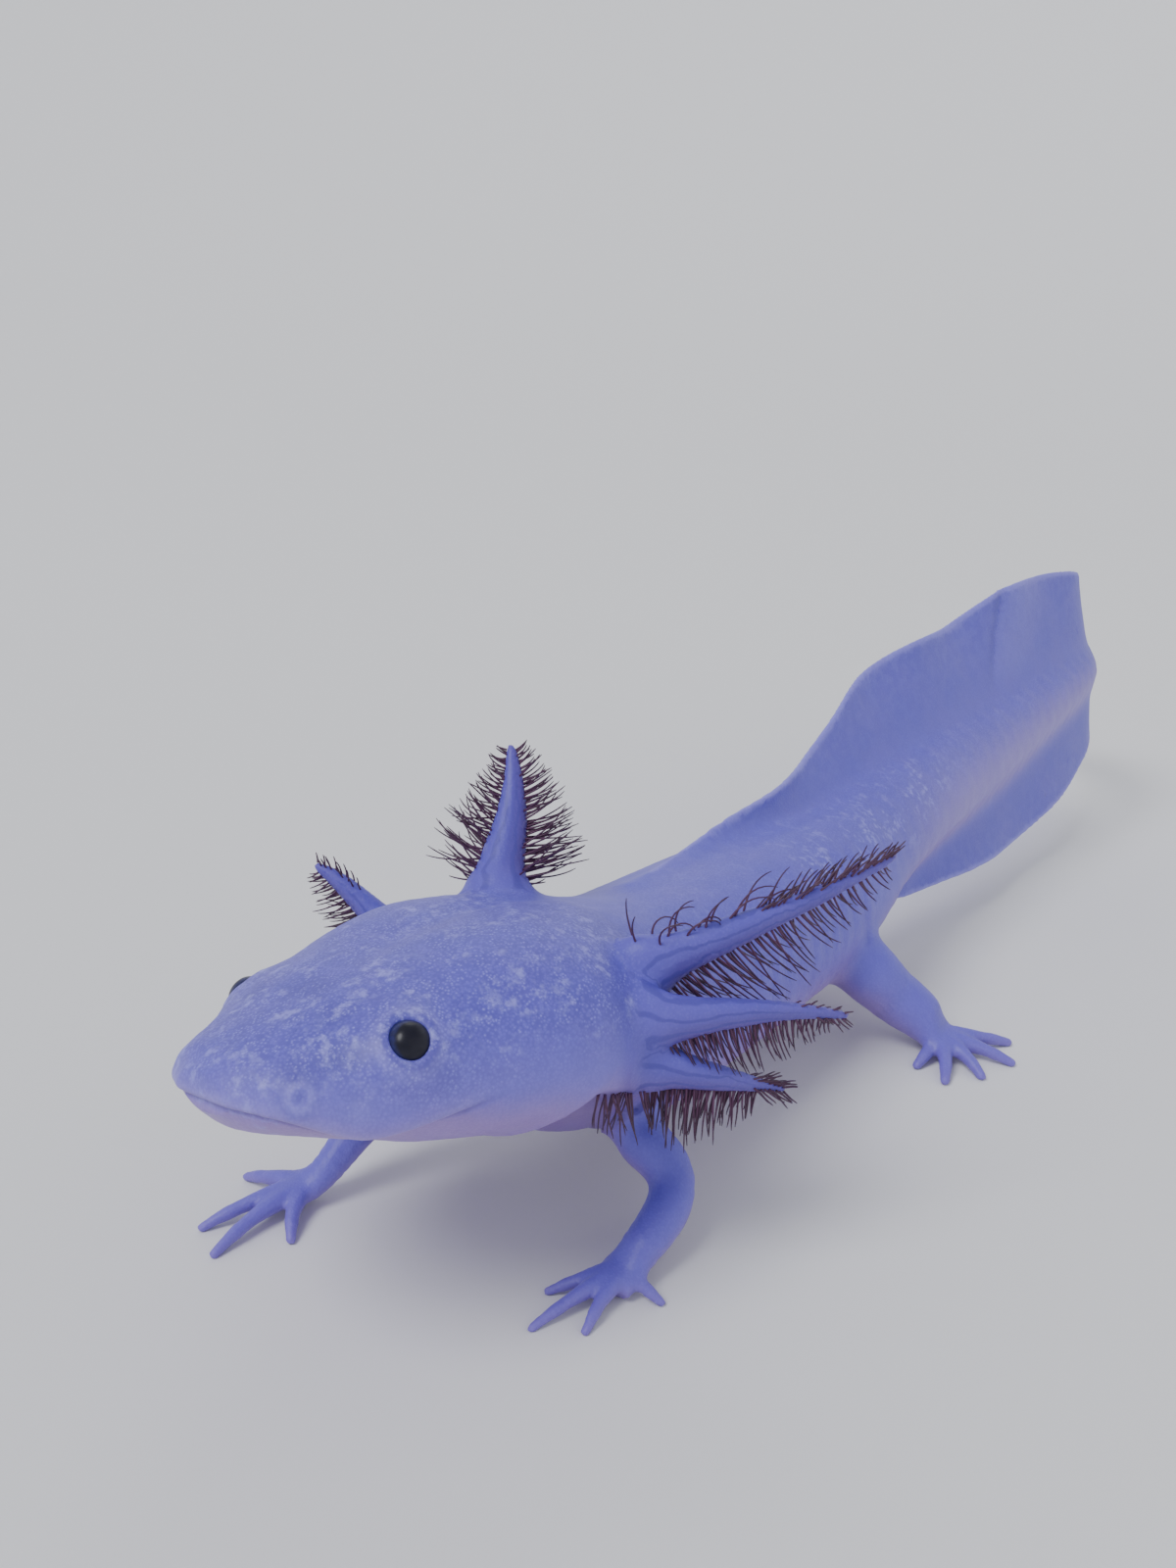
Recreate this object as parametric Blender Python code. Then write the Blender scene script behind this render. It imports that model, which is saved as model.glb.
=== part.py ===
"""Axolotl, a life-size still model resting on its four feet.

Design values are in millimetres and are scaled to metres as each mesh is made. The animal looks
along -Y, its left side is +X, and its soles lie at z = 0. The body is one smooth run of rings,
parted into nodes by thin cuts. The last step moves the origin under the middle of the model.
"""

import math
from collections import namedtuple

import bmesh
import bpy
from mathutils import Matrix, Vector

MM = 0.001
GAP = 0.3
NAME = "axolotl"

# Head: where the snout tip is, how the head is turned, and its own axes (left, forward, up).
SNOUT_TIP = Vector((-0.2, -62.3, 20.5))
SNOUT_TIP_HEIGHT = 5.0
HEAD_YAW = math.radians(4.0)
HEAD_PITCH = math.radians(8.2)
HEAD_ROLL = math.radians(10.3)
MOUTH_HINGE = -14.5
LIP_FRONT = 6.2
LIP_CORNER = 4.7
LIP_SAG = 0.8
JAW_FRONT = -2.2
EYE_PLACE = Vector((8.7, -10.9, 9.2))
EYE_RADIUS = 1.5
SOCKET_RADIUS = 1.8

# Rings of the head: distance behind the snout tip, half width, crown height, chin height,
# height of the widest line.
HEAD_RINGS = (
    (1.6, 2.6, 7.9, 5.1, 6.4),
    (2.2, 4.3, 8.6, 4.3, 6.3),
    (3.6, 6.1, 9.3, 3.6, 6.2),
    (6.0, 7.7, 10.3, 2.8, 6.1),
    (9.5, 9.6, 11.7, 1.8, 6.1),
    (14.0, 11.4, 13.0, 0.8, 6.2),
    (19.0, 13.4, 14.2, 0.0, 6.6),
    (23.5, 14.2, 14.9, -1.1, 6.9),
    (27.5, 13.4, 15.0, -2.8, 7.2),
    (31.0, 11.6, 14.7, -3.9, 7.3),
    (33.5, 10.3, 14.2, -4.2, 7.3),
)

# Rings behind the head: x, y, z, half width, rise, drop, lean in degrees, top fin, low fin.
BODY_RINGS = (
    (1.9, -24.0, 15.6, 9.8, 7.8, 11.0, 11.5, 0.0, 0.0),
    (1.5, -17.0, 14.2, 10.0, 8.2, 9.8, 12.0, 0.3, 0.0),
    (1.0, -9.0, 13.4, 10.2, 8.5, 9.0, 13.0, 0.9, 0.0),
    (0.6, 0.0, 12.8, 9.8, 8.7, 8.6, 14.0, 1.9, 0.0),
    (0.9, 9.0, 12.6, 8.6, 8.7, 8.0, 16.0, 3.1, 0.0),
    (1.1, 16.0, 12.8, 7.4, 8.4, 6.4, 19.0, 4.3, 0.0),
    (1.0, 23.0, 13.6, 5.8, 8.0, 5.2, 22.0, 5.8, 1.0),
    (0.8, 33.0, 15.2, 4.7, 7.2, 4.8, 23.0, 9.6, 3.5),
    (0.6, 45.0, 16.8, 3.8, 6.4, 4.9, 22.0, 11.0, 6.0),
    (0.4, 57.0, 18.2, 3.2, 5.6, 4.7, 20.0, 11.1, 7.7),
    (0.3, 69.0, 20.0, 2.7, 4.8, 4.2, 17.0, 12.8, 8.6),
    (0.2, 81.0, 21.6, 2.3, 4.0, 3.6, 14.0, 12.4, 8.6),
    (-0.6, 91.0, 22.4, 1.9, 3.2, 3.0, 12.0, 11.3, 7.5),
    (-4.0, 99.0, 22.4, 1.6, 2.5, 2.4, 11.0, 9.0, 6.0),
    (-9.5, 104.5, 21.6, 1.2, 1.7, 1.7, 10.0, 6.4, 4.2),
    (-14.5, 107.0, 20.8, 0.8, 1.0, 1.0, 10.0, 3.2, 2.2),
    (-18.0, 108.0, 20.3, 0.5, 0.6, 0.6, 10.0, 0.5, 0.5),
)

# Where the body is parted, as y of the body rings.
NECK_END_Y = -24.0
TRUNK_CUT_Y = -6.0
TAIL_START_Y = 16.0
TAIL_MID_Y = 45.0
TAIL_TIP_Y = 81.0
FIN_START_Y = -20.0
LOW_FIN_START_Y = 23.0

RING_SIDES = 20
RING_STEP = 4.0
BODY_FULLNESS = 2.25
TAIL_FULLNESS = 1.75
NORMAL_STEP = 0.05
HALVINGS = 40
FIN_ROOT_THICKNESS = 1.3
FIN_EDGE_THICKNESS = 0.6
FIN_LEAST_HEIGHT = 0.5
FIN_ROOT_OVERHANG = 0.4
FIN_MIDDLE = 0.55
FIN_MIDDLE_SWAY = 0.35
FIN_RIPPLE = 0.5
FIN_RIPPLE_LENGTH = 21.0
FIN_FULL_RIPPLE_HEIGHT = 8.0

Ring = namedtuple("Ring", "centre left up half_width rise drop top_fin low_fin fullness")
Gill = namedtuple(
    "Gill", "name side behind height tip bow root_radius tip_radius fringe_out fringe_in hang"
)
Leg = namedtuple("Leg", "name root elbow wrist radii palm palm_half_width toes")

# Gill stalks: place of the root behind the snout tip and above the chin, the tip's place, how far
# the stalk bows, its radii, and how far the filaments reach on either side and which way they hang.
DOWN = Vector((0.0, 0.0, -1.0))
BACK_LEFT = Vector((0.78, 0.63, 0.0))
GILLS = (
    Gill("gill_left_upper", 1, 30.6, 10.6, (22.3, -14.2, 30.2), (2.2, -1.2, 0.8), 2.2, 0.32, 3.6, 1.3, DOWN),
    Gill("gill_left_middle", 1, 29.0, 7.7, (22.9, -20.8, 19.6), (1.6, -1.0, 2.1), 2.1, 0.32, 1.35, 0.8, DOWN),
    Gill("gill_left_lower", 1, 29.4, 4.5, (20.4, -24.8, 14.2), (1.4, -0.6, 0.5), 1.9, 0.32, 3.4, 0.4, DOWN),
    Gill("gill_right_upper", -1, 31.8, 14.0, (-8.9, -23.2, 34.3), (0.4, 1.6, -0.4), 2.2, 0.32, 3.4, 3.0, BACK_LEFT),
    Gill("gill_right_middle", -1, 29.0, 8.0, (-20.8, -34.6, 23.6), (-1.0, 1.2, 0.8), 2.1, 0.32, 2.6, 0.8, DOWN),
    Gill("gill_right_lower", -1, 29.4, 4.9, (-20.0, -27.0, 13.0), (-1.2, 0.4, 0.6), 1.9, 0.32, 3.0, 0.8, DOWN),
)
STALK_SIDES = 8
STALK_RINGS = 7
STALK_TAPER = 1.6
STALK_FLATNESS = 0.8
STALK_WIDEST = 1.55
STALK_LEAVES = 3.2
FLANK_REACH = 1.4
FRINGE_TEETH = 8
FRINGE_THICKNESS = 0.6
FRINGE_START = 0.26
FRINGE_NOTCH = 0.55
FRINGE_LEAST_WIDTH = 0.4
FRINGE_TIP_WIDTH = 1.3
FRINGE_TIP_STEPS = 4
FRINGE_SHORTEST = 0.35
FRINGE_SWELL_FROM = 0.12
FRINGE_SWELL_SPAN = 0.62

# Legs: where each leaves the body (ring y, angle round the ring), its joints, and its toe tips.
LEGS = (
    Leg(
        "front_left",
        (-26.5, -56.0),
        (13.5, -28.7, 5.2),
        (14.5, -34.3, 2.5),
        (2.3, 1.8, 1.6, 1.3),
        (14.2, -36.5),
        1.8,
        ((10.4, -40.3), (12.2, -44.0), (15.5, -41.8), (18.0, -35.4)),
    ),
    Leg(
        "front_right",
        (-26.0, 226.0),
        (-8.8, -35.0, 7.4),
        (-10.3, -43.0, 2.6),
        (2.3, 1.8, 1.4, 1.2),
        (-11.9, -45.4),
        1.8,
        ((-17.5, -46.0), (-14.4, -52.7), (-10.9, -54.0), (-7.6, -49.0)),
    ),
    Leg(
        "hind_left",
        (9.5, -48.0),
        (11.6, 11.4, 5.0),
        (14.8, 12.4, 3.0),
        (3.3, 2.8, 2.4, 1.7),
        (17.2, 12.9),
        2.7,
        ((16.4, 7.4), (20.0, 6.6), (22.5, 10.0), (23.7, 14.8), (21.6, 18.7)),
    ),
    Leg(
        "hind_right",
        (9.5, 214.0),
        (-12.0, 13.6, 5.4),
        (-15.0, 9.6, 3.0),
        (3.3, 2.8, 2.3, 1.7),
        (-16.9, 7.4),
        2.7,
        ((-13.0, 2.6), (-16.8, -0.4), (-21.2, 1.4), (-23.6, 5.4), (-22.4, 10.6)),
    ),
)
LEG_SIDES = 10
LEG_RINGS = 5
LEG_ROOT_GAP = 0.5
LEG_LEAVES = 2.2
LEG_BEND = 0.35
PALM_HALF_HEIGHT = 1.0
PALM_SAG = 0.3
PALM_PAST_KNUCKLES = 0.6
PALM_SPREAD = 0.62
TOE_SIDES = 6
TOE_RINGS = 4
TOE_RADIUS = 0.62
TOE_TIP_RADIUS = 0.4
TOE_NIB = 0.45
TOE_CURL = 0.4
TOE_ROOT_INSET = 0.2
SOLE_SINK = 0.16
FLOOR_SIZE = (120.0, 260.0, 20.0)
FLOOR_MIDDLE_Y = 20.0
EDGE_ANGLE = math.radians(50.0)

SKIN_COLOUR = (0.17, 0.15, 0.64, 1.0)
FIN_COLOUR = (0.12, 0.11, 0.61, 1.0)
GILL_COLOUR = (0.10, 0.08, 0.52, 1.0)
FRINGE_COLOUR = (0.08, 0.022, 0.065, 1.0)
EYE_COLOUR = (0.01, 0.01, 0.02, 1.0)


def clear_scene():
    for old in list(bpy.data.objects):
        bpy.data.objects.remove(old, do_unlink=True)


def new_collection(name, hidden):
    group = bpy.data.collections.new(name)
    group.hide_render = hidden
    bpy.context.scene.collection.children.link(group)
    return group


def new_material(name, colour, roughness, metallic=0.0):
    material = bpy.data.materials.new(name)
    material.use_nodes = True
    shader = material.node_tree.nodes["Principled BSDF"]
    shader.inputs["Base Color"].default_value = colour
    shader.inputs["Roughness"].default_value = roughness
    shader.inputs["Metallic"].default_value = metallic
    return material


def head_axes():
    """Left, forward and up of the turned head."""
    forward = Vector(
        (
            -math.sin(HEAD_YAW) * math.cos(HEAD_PITCH),
            -math.cos(HEAD_YAW) * math.cos(HEAD_PITCH),
            math.sin(HEAD_PITCH),
        )
    )
    level_left = Vector((math.cos(HEAD_YAW), -math.sin(HEAD_YAW), 0.0))
    level_up = forward.cross(level_left)
    left = level_left * math.cos(HEAD_ROLL) + level_up * math.sin(HEAD_ROLL)
    return left, forward, forward.cross(left)


HEAD_LEFT, HEAD_FORWARD, HEAD_UP = head_axes()
HEAD_ORIGIN = SNOUT_TIP - HEAD_UP * SNOUT_TIP_HEIGHT


def from_head(left, forward, up):
    return HEAD_ORIGIN + HEAD_LEFT * left + HEAD_FORWARD * forward + HEAD_UP * up


def to_head(point):
    offset = point - HEAD_ORIGIN
    return Vector((offset.dot(HEAD_LEFT), offset.dot(HEAD_FORWARD), offset.dot(HEAD_UP)))


def body_rings():
    """Every stated ring from the snout to the tail tip."""
    rings = []
    for behind, half_width, crown, chin, widest in HEAD_RINGS:
        centre = from_head(0.0, -behind, widest)
        sizes = (half_width, crown - widest, widest - chin, 0.0, 0.0, BODY_FULLNESS)
        rings.append(Ring(centre, HEAD_LEFT, HEAD_UP, *sizes))
    centres = [Vector(row[:3]) for row in BODY_RINGS]
    for index, row in enumerate(BODY_RINGS):
        before = centres[index - 1] if index else rings[-1].centre
        after = centres[min(index + 1, len(centres) - 1)]
        backward = (after - before).normalized()
        half_width, rise, drop, lean, top_fin, low_fin = row[3:]
        level_left = backward.cross(Vector((0.0, 0.0, 1.0))).normalized()
        level_up = level_left.cross(backward)
        lean = math.radians(lean)
        left = level_left * math.cos(lean) + level_up * math.sin(lean)
        up = level_up * math.cos(lean) - level_left * math.sin(lean)
        sizes = (half_width, rise, drop, top_fin, low_fin, fullness_at(row[1]))
        rings.append(Ring(centres[index], left, up, *sizes))
    return rings


def fullness_at(y):
    """How square the body's section is: full in the trunk, sharper towards the fins in the tail."""
    along = min(max((y - TRUNK_CUT_Y) / (TAIL_MID_Y - TRUNK_CUT_Y), 0.0), 1.0)
    return BODY_FULLNESS + (TAIL_FULLNESS - BODY_FULLNESS) * along


class Body:
    """The run of rings, read at any distance along the middle line."""

    def __init__(self, rings):
        self.rings = rings
        self.places = [0.0]
        for before, after in zip(rings, rings[1:]):
            self.places.append(self.places[-1] + (after.centre - before.centre).length)

    def slope(self, index, value):
        low = max(index - 1, 0)
        high = min(index + 1, len(self.rings) - 1)
        return (value(self.rings[high]) - value(self.rings[low])) / (self.places[high] - self.places[low])

    def blend(self, place, value):
        """Smooth curve through one value of every ring."""
        place = min(max(place, 0.0), self.places[-1])
        index = max(i for i, start in enumerate(self.places[:-1]) if start <= place)
        length = self.places[index + 1] - self.places[index]
        t = (place - self.places[index]) / length
        start = value(self.rings[index]) * (2 * t**3 - 3 * t**2 + 1)
        end = value(self.rings[index + 1]) * (3 * t**2 - 2 * t**3)
        leave = self.slope(index, value) * (length * (t**3 - 2 * t**2 + t))
        arrive = self.slope(index + 1, value) * (length * (t**3 - t**2))
        return start + end + leave + arrive

    def ring_at(self, place):
        centre = self.blend(place, lambda ring: ring.centre)
        left = self.blend(place, lambda ring: ring.left).normalized()
        up = self.blend(place, lambda ring: ring.up)
        up = (up - left * up.dot(left)).normalized()
        first_size = Ring._fields.index("half_width")
        sizes = [
            self.blend(place, lambda ring, index=index: ring[index])
            for index in range(first_size, len(Ring._fields))
        ]
        return Ring(centre, left, up, *sizes)

    def place_of_y(self, y):
        """Distance along the middle line at which it passes this y."""
        low = self.places[len(HEAD_RINGS) - 1]
        high = self.places[-1]
        for _ in range(HALVINGS):
            middle = (low + high) / 2
            if self.blend(middle, lambda ring: ring.centre).y < y:
                low = middle
            else:
                high = middle
        return low

    def outline(self, place, angle):
        """Point of the surface at an angle round the ring, from the left side over the back."""
        ring = self.ring_at(place)
        across = math.cos(angle)
        along = math.sin(angle)
        power = 2.0 / ring.fullness
        width = ring.half_width * math.copysign(abs(across) ** power, across)
        height = (ring.rise if along > 0 else ring.drop) * math.copysign(abs(along) ** power, along)
        return ring.centre + ring.left * width + ring.up * height

    def outward(self, place, angle):
        """Direction straight out of the surface."""
        before, after = (self.outline(place + step, angle) for step in (-NORMAL_STEP, NORMAL_STEP))
        lower, upper = (self.outline(place, angle + step) for step in (-NORMAL_STEP, NORMAL_STEP))
        normal = (after - before).cross(upper - lower).normalized()
        away = self.outline(place, angle) - self.ring_at(place).centre
        return normal if normal.dot(away) > 0 else normal * -1.0


BODY = Body(body_rings())
HEAD_END = BODY.places[len(HEAD_RINGS) - 1]


def places_between(start, end, step):
    count = max(2, math.ceil((end - start) / step) + 1)
    return [start + (end - start) * i / (count - 1) for i in range(count)]


def lofted_mesh(name, sections):
    """One closed body through rings of equal count, with flat ends."""
    mesh = bmesh.new()
    rows = [[mesh.verts.new(point * MM) for point in section] for section in sections]
    count = len(rows[0])
    for before, after in zip(rows, rows[1:]):
        for i in range(count):
            j = (i + 1) % count
            mesh.faces.new((before[i], before[j], after[j], after[i]))
    for row in (rows[0], rows[-1]):
        middle = mesh.verts.new(sum((vertex.co for vertex in row), Vector()) / count)
        for i in range(count):
            mesh.faces.new((row[i], row[(i + 1) % count], middle))
    bmesh.ops.recalc_face_normals(mesh, faces=mesh.faces)
    if mesh.calc_volume(signed=True) < 0:
        bmesh.ops.reverse_faces(mesh, faces=mesh.faces)
    data = bpy.data.meshes.new(name)
    mesh.to_mesh(data)
    mesh.free()
    data.shade_smooth()
    data.set_sharp_from_angle(angle=EDGE_ANGLE)
    return data


def new_object(name, data, group, material):
    data.materials.append(material)
    made = bpy.data.objects.new(name, data)
    group.objects.link(made)
    return made


def hide_as_cutter(cutter):
    cutter.hide_render = True
    cutter.display_type = "WIRE"


def add_boolean(target, other, operation):
    modifier = target.modifiers.new(other.name, "BOOLEAN")
    modifier.operation = operation
    modifier.object = other
    modifier.solver = "EXACT"


def ring_points(place, fit=None):
    points = [BODY.outline(place, 2 * math.pi * i / RING_SIDES) for i in range(RING_SIDES)]
    return [fit(point) for point in points] if fit else points


def lip_height(forward):
    """Height of the closed mouth, sagging between the snout and the corner."""
    along = min(max(forward / MOUTH_HINGE, 0.0), 1.0)
    return LIP_FRONT + (LIP_CORNER - LIP_FRONT) * along - LIP_SAG * math.sin(math.pi * along)


def above_mouth(point):
    left, forward, up = to_head(point)
    return from_head(left, forward, max(up, lip_height(forward) + GAP / 2))


def below_mouth(point):
    left, forward, up = to_head(point)
    return from_head(left, forward, min(up, lip_height(forward) - GAP / 2))


def head_place(forward):
    """Distance along the middle line of a ring this far ahead in the head's own axes."""
    low = 0.0
    high = HEAD_END
    for _ in range(HALVINGS):
        middle = (low + high) / 2
        if to_head(BODY.ring_at(middle).centre).y > forward:
            low = middle
        else:
            high = middle
    return low


def make_head(group, cutters, material):
    front = [ring_points(place, above_mouth) for place in head_rows(-HEAD_RINGS[0][0], MOUTH_HINGE + GAP / 2)]
    back_places = places_between(head_place(MOUTH_HINGE - GAP / 2), HEAD_END - GAP / 2, RING_STEP)
    back = [ring_points(place) for place in back_places]
    head = new_object("head", lofted_mesh("head", front + back), group, material)
    for side, word in ((1, "left"), (-1, "right")):
        socket = sphere_data("socket_" + word, eye_centre(side), SOCKET_RADIUS)
        cutter = new_object("socket_" + word, socket, cutters, material)
        hide_as_cutter(cutter)
        add_boolean(head, cutter, "DIFFERENCE")


def head_rows(front, back):
    """Places of the head's rings between two distances ahead, with the stated rings kept."""
    stated = [-row[0] for row in HEAD_RINGS if back < -row[0] < front]
    return [head_place(forward) for forward in [front] + stated + [back]]


def make_jaw(group, material):
    rows = head_rows(JAW_FRONT, MOUTH_HINGE + GAP)
    sections = [ring_points(place, below_mouth) for place in rows]
    new_object("lower_jaw", lofted_mesh("lower_jaw", sections), group, material)


def eye_centre(side):
    return from_head(side * EYE_PLACE.x, EYE_PLACE.y, EYE_PLACE.z)


def sphere_data(name, centre, radius):
    mesh = bmesh.new()
    bmesh.ops.create_uvsphere(mesh, u_segments=14, v_segments=9, radius=radius * MM)
    bmesh.ops.translate(mesh, verts=mesh.verts, vec=centre * MM)
    data = bpy.data.meshes.new(name)
    mesh.to_mesh(data)
    mesh.free()
    data.shade_smooth()
    return data


def make_eyes(group, material):
    for side, word in ((1, "left"), (-1, "right")):
        name = "eye_" + word
        new_object(name, sphere_data(name, eye_centre(side), EYE_RADIUS), group, material)


def make_core(group, material):
    """Neck, trunk and tail muscle."""
    cuts = [HEAD_END] + [
        BODY.place_of_y(y) for y in (NECK_END_Y, TRUNK_CUT_Y, TAIL_START_Y, TAIL_MID_Y, TAIL_TIP_Y)
    ]
    cuts.append(BODY.places[-1])
    names = ("neck", "trunk_front", "trunk_rear", "tail_base", "tail_mid", "tail_tip")
    for name, start, end in zip(names, cuts, cuts[1:]):
        places = places_between(start + GAP / 2, end - GAP / 2, RING_STEP)
        sections = [ring_points(place) for place in places]
        new_object(name, lofted_mesh(name, sections), group, material)


def fin_section(place, upward):
    """Six points round a fin: its root, its middle and its edge, on both faces."""
    ring = BODY.ring_at(place)
    reach = ring.rise if upward else ring.drop
    height = max(ring.top_fin if upward else ring.low_fin, FIN_LEAST_HEIGHT)
    direction = ring.up if upward else ring.up * -1.0
    root = ring.centre + direction * (reach + GAP)
    root_thickness = min(FIN_ROOT_THICKNESS, ring.half_width + FIN_ROOT_OVERHANG)
    sway = FIN_RIPPLE * min(height / FIN_FULL_RIPPLE_HEIGHT, 1.0)
    sway *= math.sin(2 * math.pi * place / FIN_RIPPLE_LENGTH)
    edge = root + direction * height + ring.left * sway
    middle = root + direction * (height * FIN_MIDDLE) + ring.left * (sway * FIN_MIDDLE_SWAY)
    middle_thickness = (root_thickness + FIN_EDGE_THICKNESS) / 2
    half_left = ring.left / 2
    return [
        root + half_left * root_thickness,
        middle + half_left * middle_thickness,
        edge + half_left * FIN_EDGE_THICKNESS,
        edge - half_left * FIN_EDGE_THICKNESS,
        middle - half_left * middle_thickness,
        root - half_left * root_thickness,
    ]


def make_fins(group, material):
    tail_start, tail_mid, tail_tip = (
        BODY.place_of_y(y) for y in (TAIL_START_Y, TAIL_MID_Y, TAIL_TIP_Y)
    )
    end = BODY.places[-1]
    spans = (
        ("back_fin", True, BODY.place_of_y(FIN_START_Y), tail_start),
        ("tail_fin_top_base", True, tail_start, tail_mid),
        ("tail_fin_top_mid", True, tail_mid, tail_tip),
        ("tail_fin_top_tip", True, tail_tip, end),
        ("tail_fin_low_base", False, BODY.place_of_y(LOW_FIN_START_Y), tail_mid),
        ("tail_fin_low_mid", False, tail_mid, tail_tip),
        ("tail_fin_low_tip", False, tail_tip, end),
    )
    for name, upward, start, stop in spans:
        places = places_between(start + GAP / 2, stop - GAP / 2, RING_STEP)
        sections = [fin_section(place, upward) for place in places]
        new_object(name, lofted_mesh(name, sections), group, material)


def oval(centre, direction, half_width, half_height, sides):
    """Ring of points round a line, with its width level."""
    across = direction.cross(Vector((0.0, 0.0, 1.0))).normalized()
    over = across.cross(direction).normalized()
    return [
        centre
        + across * (half_width * math.cos(2 * math.pi * i / sides))
        + over * (half_height * math.sin(2 * math.pi * i / sides))
        for i in range(sides)
    ]


def bezier(points, t):
    """Point and direction on a cubic curve through four handles."""
    a, b, c, d = points
    s = 1.0 - t
    point = a * s**3 + b * (3 * s * s * t) + c * (3 * s * t * t) + d * t**3
    direction = (b - a) * (s * s) + (c - b) * (2 * s * t) + (d - c) * (t * t)
    return point, direction.normalized()


def gill_angle(place, side, height):
    """Angle round the ring at which the head's flank has this height above the chin."""
    low, high = (-FLANK_REACH, FLANK_REACH)
    for _ in range(HALVINGS):
        middle = (low + high) / 2
        angle = middle if side > 0 else math.pi - middle
        if to_head(BODY.outline(place, angle)).z < height:
            low = middle
        else:
            high = middle
    return low if side > 0 else math.pi - low


def gill_curve(gill):
    """Handles of a stalk's curve: it leaves the head squarely, then sweeps to its tip."""
    place = head_place(-gill.behind)
    angle = gill_angle(place, gill.side, gill.height)
    out = BODY.outward(place, angle)
    root = BODY.outline(place, angle) + out * GAP
    tip = Vector(gill.tip)
    bow = Vector(gill.bow)
    return root, root + out * STALK_LEAVES, (root + tip) / 2 + bow, tip


def stalk_radius(gill, t):
    """Half the stalk's height along it. Near the head it is held back, clear of its neighbours."""
    taper = (gill.root_radius - gill.tip_radius) * (1.0 - t) ** STALK_TAPER
    return min(gill.tip_radius + taper, STALK_WIDEST)


def make_stalk(gill, group, material):
    handles = gill_curve(gill)
    sections = []
    for i in range(STALK_RINGS):
        t = i / (STALK_RINGS - 1)
        centre, direction = bezier(handles, t)
        radius = stalk_radius(gill, t)
        sections.append(oval(centre, direction, radius * STALK_FLATNESS, radius, STALK_SIDES))
    new_object(gill.name, lofted_mesh(gill.name, sections), group, material)


def fringe_out(gill, direction):
    """Across the stalk, as nearly the way that its filaments hang as that allows."""
    return (gill.hang - direction * gill.hang.dot(direction)).normalized()


def fringe_section(gill, t, turn, width):
    """Four corners of the filament comb where it has turned this far round the stalk's tip."""
    centre, direction = bezier(gill_curve(gill), t)
    hang = fringe_out(gill, direction)
    out = hang * math.cos(turn) + direction * math.sin(turn)
    thick = direction.cross(hang) * (FRINGE_THICKNESS / 2)
    near = centre + out * (stalk_radius(gill, t) + GAP)
    far = near + out * width
    return [near + thick, far + thick, far - thick, near - thick]


def fringe_swell(t):
    """Filaments are longest in the middle of the stalk."""
    along = (t - FRINGE_START) / (1.0 - FRINGE_START)
    swell = math.sin(math.pi * (FRINGE_SWELL_FROM + FRINGE_SWELL_SPAN * along))
    return FRINGE_SHORTEST + (1.0 - FRINGE_SHORTEST) * swell


def make_fringe(gill, group, material):
    """A toothed comb down one side of the stalk, round its tip and up the other side."""
    rows = []
    steps = FRINGE_TEETH * 2
    for i in range(steps + 1):
        t = FRINGE_START + (1.0 - FRINGE_START) * i / steps
        rows.append((t, 0.0, gill.fringe_out * fringe_swell(t)))
    for i in range(1, FRINGE_TIP_STEPS):
        rows.append((1.0, math.pi * i / FRINGE_TIP_STEPS, FRINGE_TIP_WIDTH))
    for i in range(steps + 1):
        t = 1.0 - (1.0 - FRINGE_START) * i / steps
        rows.append((t, math.pi, gill.fringe_in * fringe_swell(t)))
    sections = []
    for index, (t, turn, width) in enumerate(rows):
        tooth = 1.0 if index % 2 else FRINGE_NOTCH
        sections.append(fringe_section(gill, t, turn, max(width * tooth, FRINGE_LEAST_WIDTH)))
    name = gill.name + "_fringe"
    new_object(name, lofted_mesh(name, sections), group, material)


def leg_path(leg):
    """Places and radii of the leg, from the body wall through elbow and wrist."""
    place = BODY.place_of_y(leg.root[0])
    angle = math.radians(leg.root[1])
    out = BODY.outward(place, angle)
    root = BODY.outline(place, angle) + out * LEG_ROOT_GAP
    elbow = Vector(leg.elbow)
    wrist = Vector(leg.wrist)
    return root, root + out * LEG_LEAVES, elbow, wrist


def leg_run(start, middle, end, t):
    """Point and direction on a curve with one handle."""
    s = 1.0 - t
    point = start * (s * s) + middle * (2 * s * t) + end * (t * t)
    direction = (middle - start) * s + (end - middle) * t
    return point, direction.normalized()


def make_leg(leg, group, cutters, material):
    root, out, elbow, wrist = leg_path(leg)
    shoulder_radius, elbow_radius, wrist_radius, _ = leg.radii
    joint_direction = ((elbow - root).normalized() + (wrist - elbow).normalized()).normalized()
    handle_up = elbow - joint_direction * ((elbow - root).length * LEG_BEND)
    handle_down = elbow + joint_direction * ((wrist - elbow).length * LEG_BEND)
    half_gap = joint_direction * (GAP / 2)
    upper = []
    lower = []
    for i in range(LEG_RINGS):
        t = i / (LEG_RINGS - 1)
        centre, direction = bezier((root, out, handle_up, elbow - half_gap), t)
        radius = shoulder_radius + (elbow_radius - shoulder_radius) * t
        upper.append(oval(centre, direction, radius, radius, LEG_SIDES))
        centre, direction = leg_run(elbow + half_gap, handle_down, wrist, t)
        radius = elbow_radius + (wrist_radius - elbow_radius) * t
        lower.append(oval(centre, direction, radius, radius, LEG_SIDES))
    upper_name = f"leg_{leg.name}_upper"
    lower_name = f"leg_{leg.name}_lower"
    new_object(upper_name, lofted_mesh(upper_name, upper), group, material)
    new_object(lower_name, lofted_mesh(lower_name, lower), group, material)
    make_foot(leg, handle_down, group, cutters, material)


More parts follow.
